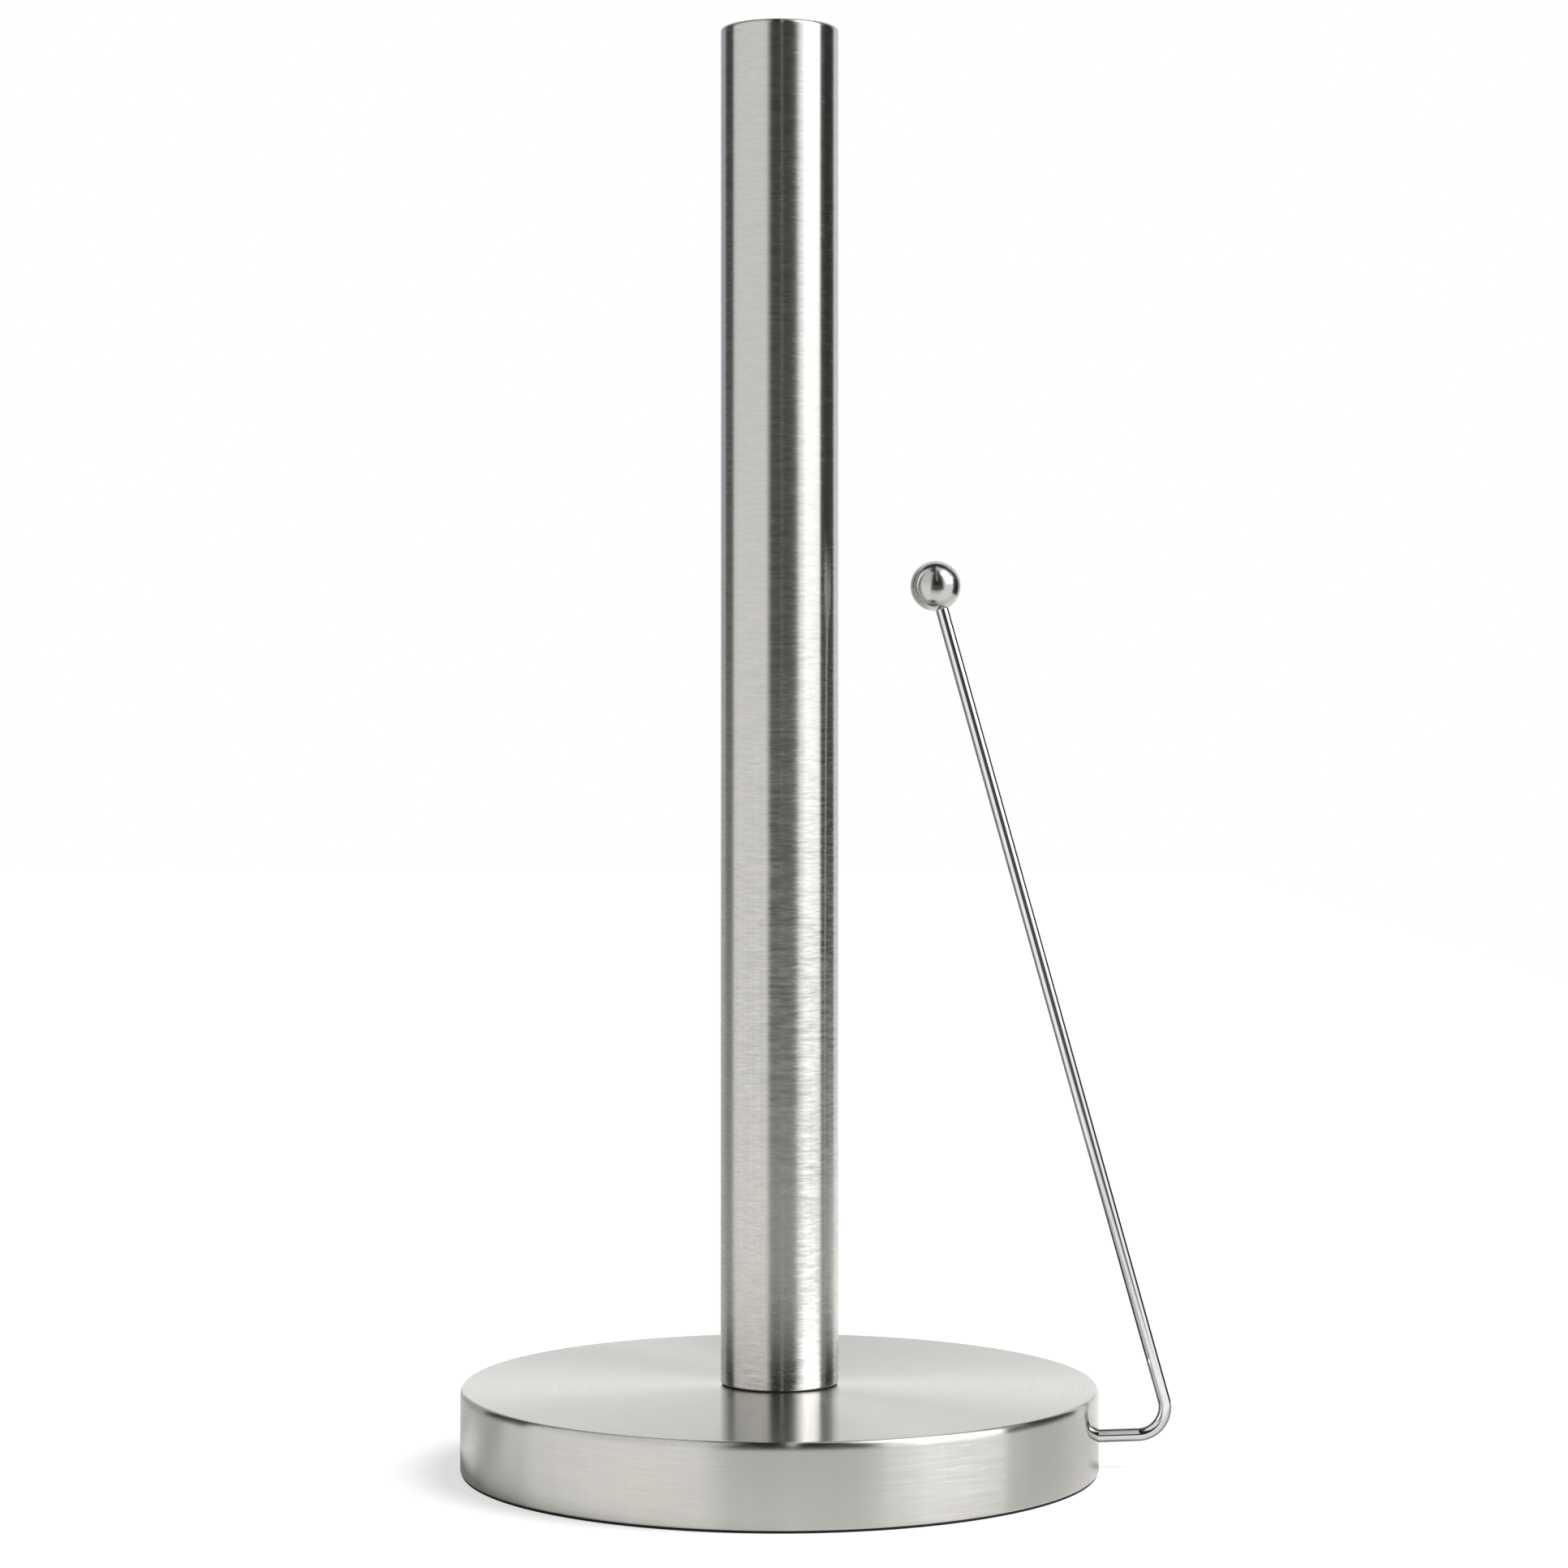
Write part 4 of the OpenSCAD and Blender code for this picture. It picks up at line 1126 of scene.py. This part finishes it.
# %% Spring
spring_r, coil_r, coil_y, coil_turns, pitch = 0.6 * mm, 3.70 * mm, 6.0 * mm, 3.5, 1.3 * mm
leg, leg_rise, bridge_z, bridge_bend = 9 * mm, 4.8 * mm, 3.9 * mm, 0.9 * mm
leg_turn = asin(leg_rise / hypot(coil_r, leg)) - atan2(coil_r, leg)
sweep, coil_steps = radians(3 * 360 + 270) - leg_turn, 112


def half_spring(side):
    def coil(i):
        turn = pi / 2 - leg_turn - sweep * i / coil_steps
        y = side * (coil_y + (1 - i / coil_steps) * coil_turns * pitch)
        return Vector((coil_r * cos(turn), y, coil_r * sin(turn)))

    start = coil(0)
    tip = Vector((coil_r * sin(leg_turn) - leg * cos(leg_turn), start.y,
                  coil_r * cos(leg_turn) + leg * sin(leg_turn)))
    bend_rows = [(0, 1.6), (0.08, 0.68), (0.34, 0.28), (1, 0)]
    bridge = [(coil_y - across * bridge_bend, bridge_z - below * bridge_bend) for across, below in bend_rows]
    bridge = [Vector((-coil_r, side * y, z)) for y, z in bridge + [(0, bridge_z)]]
    route = [tip, (tip + start) / 2] + [coil(i) for i in range(coil_steps + 1)] + bridge
    return [hinge + p for p in route]


for name, side in (("spring_coil_near", -1), ("spring_coil_far", 1)):
    route = line_mesh(name + "_route", half_spring(side), False)
    half = make_piece(name, route, spring_wire, (wire, {"Wire radius": spring_r, "Sides": 20}))
    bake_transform(half)
    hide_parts("arm_spring")

# %% [markdown]
# ## Pieces kept from the CAD model
# The weight, the plate, the bolt and the hinge's parts already have their true shapes, so they only
# need their finishes.

# %% Finishes of the CAD pieces
KEPT = {zinc_plate: ["closing_plate", "post_plug", "flat_washer", "hinge_bracket", "arm_lever"],
        zinc_screw: ["post_bolt", "lock_washer", "hinge_pin"], spring_wire: ["lever_screw", "pin_clips"],
        iron: ["weight"], rubber: ["arm_stop"], nylon: ["slot_liner"], acetal: ["pin_sleeves"]}
for finish, nodes in KEPT.items():
    for node in nodes:
        for material_slot in frame["nodes"][node].material_slots:
            material_slot.material = finish
    print(finish.name, "on", ", ".join(nodes))
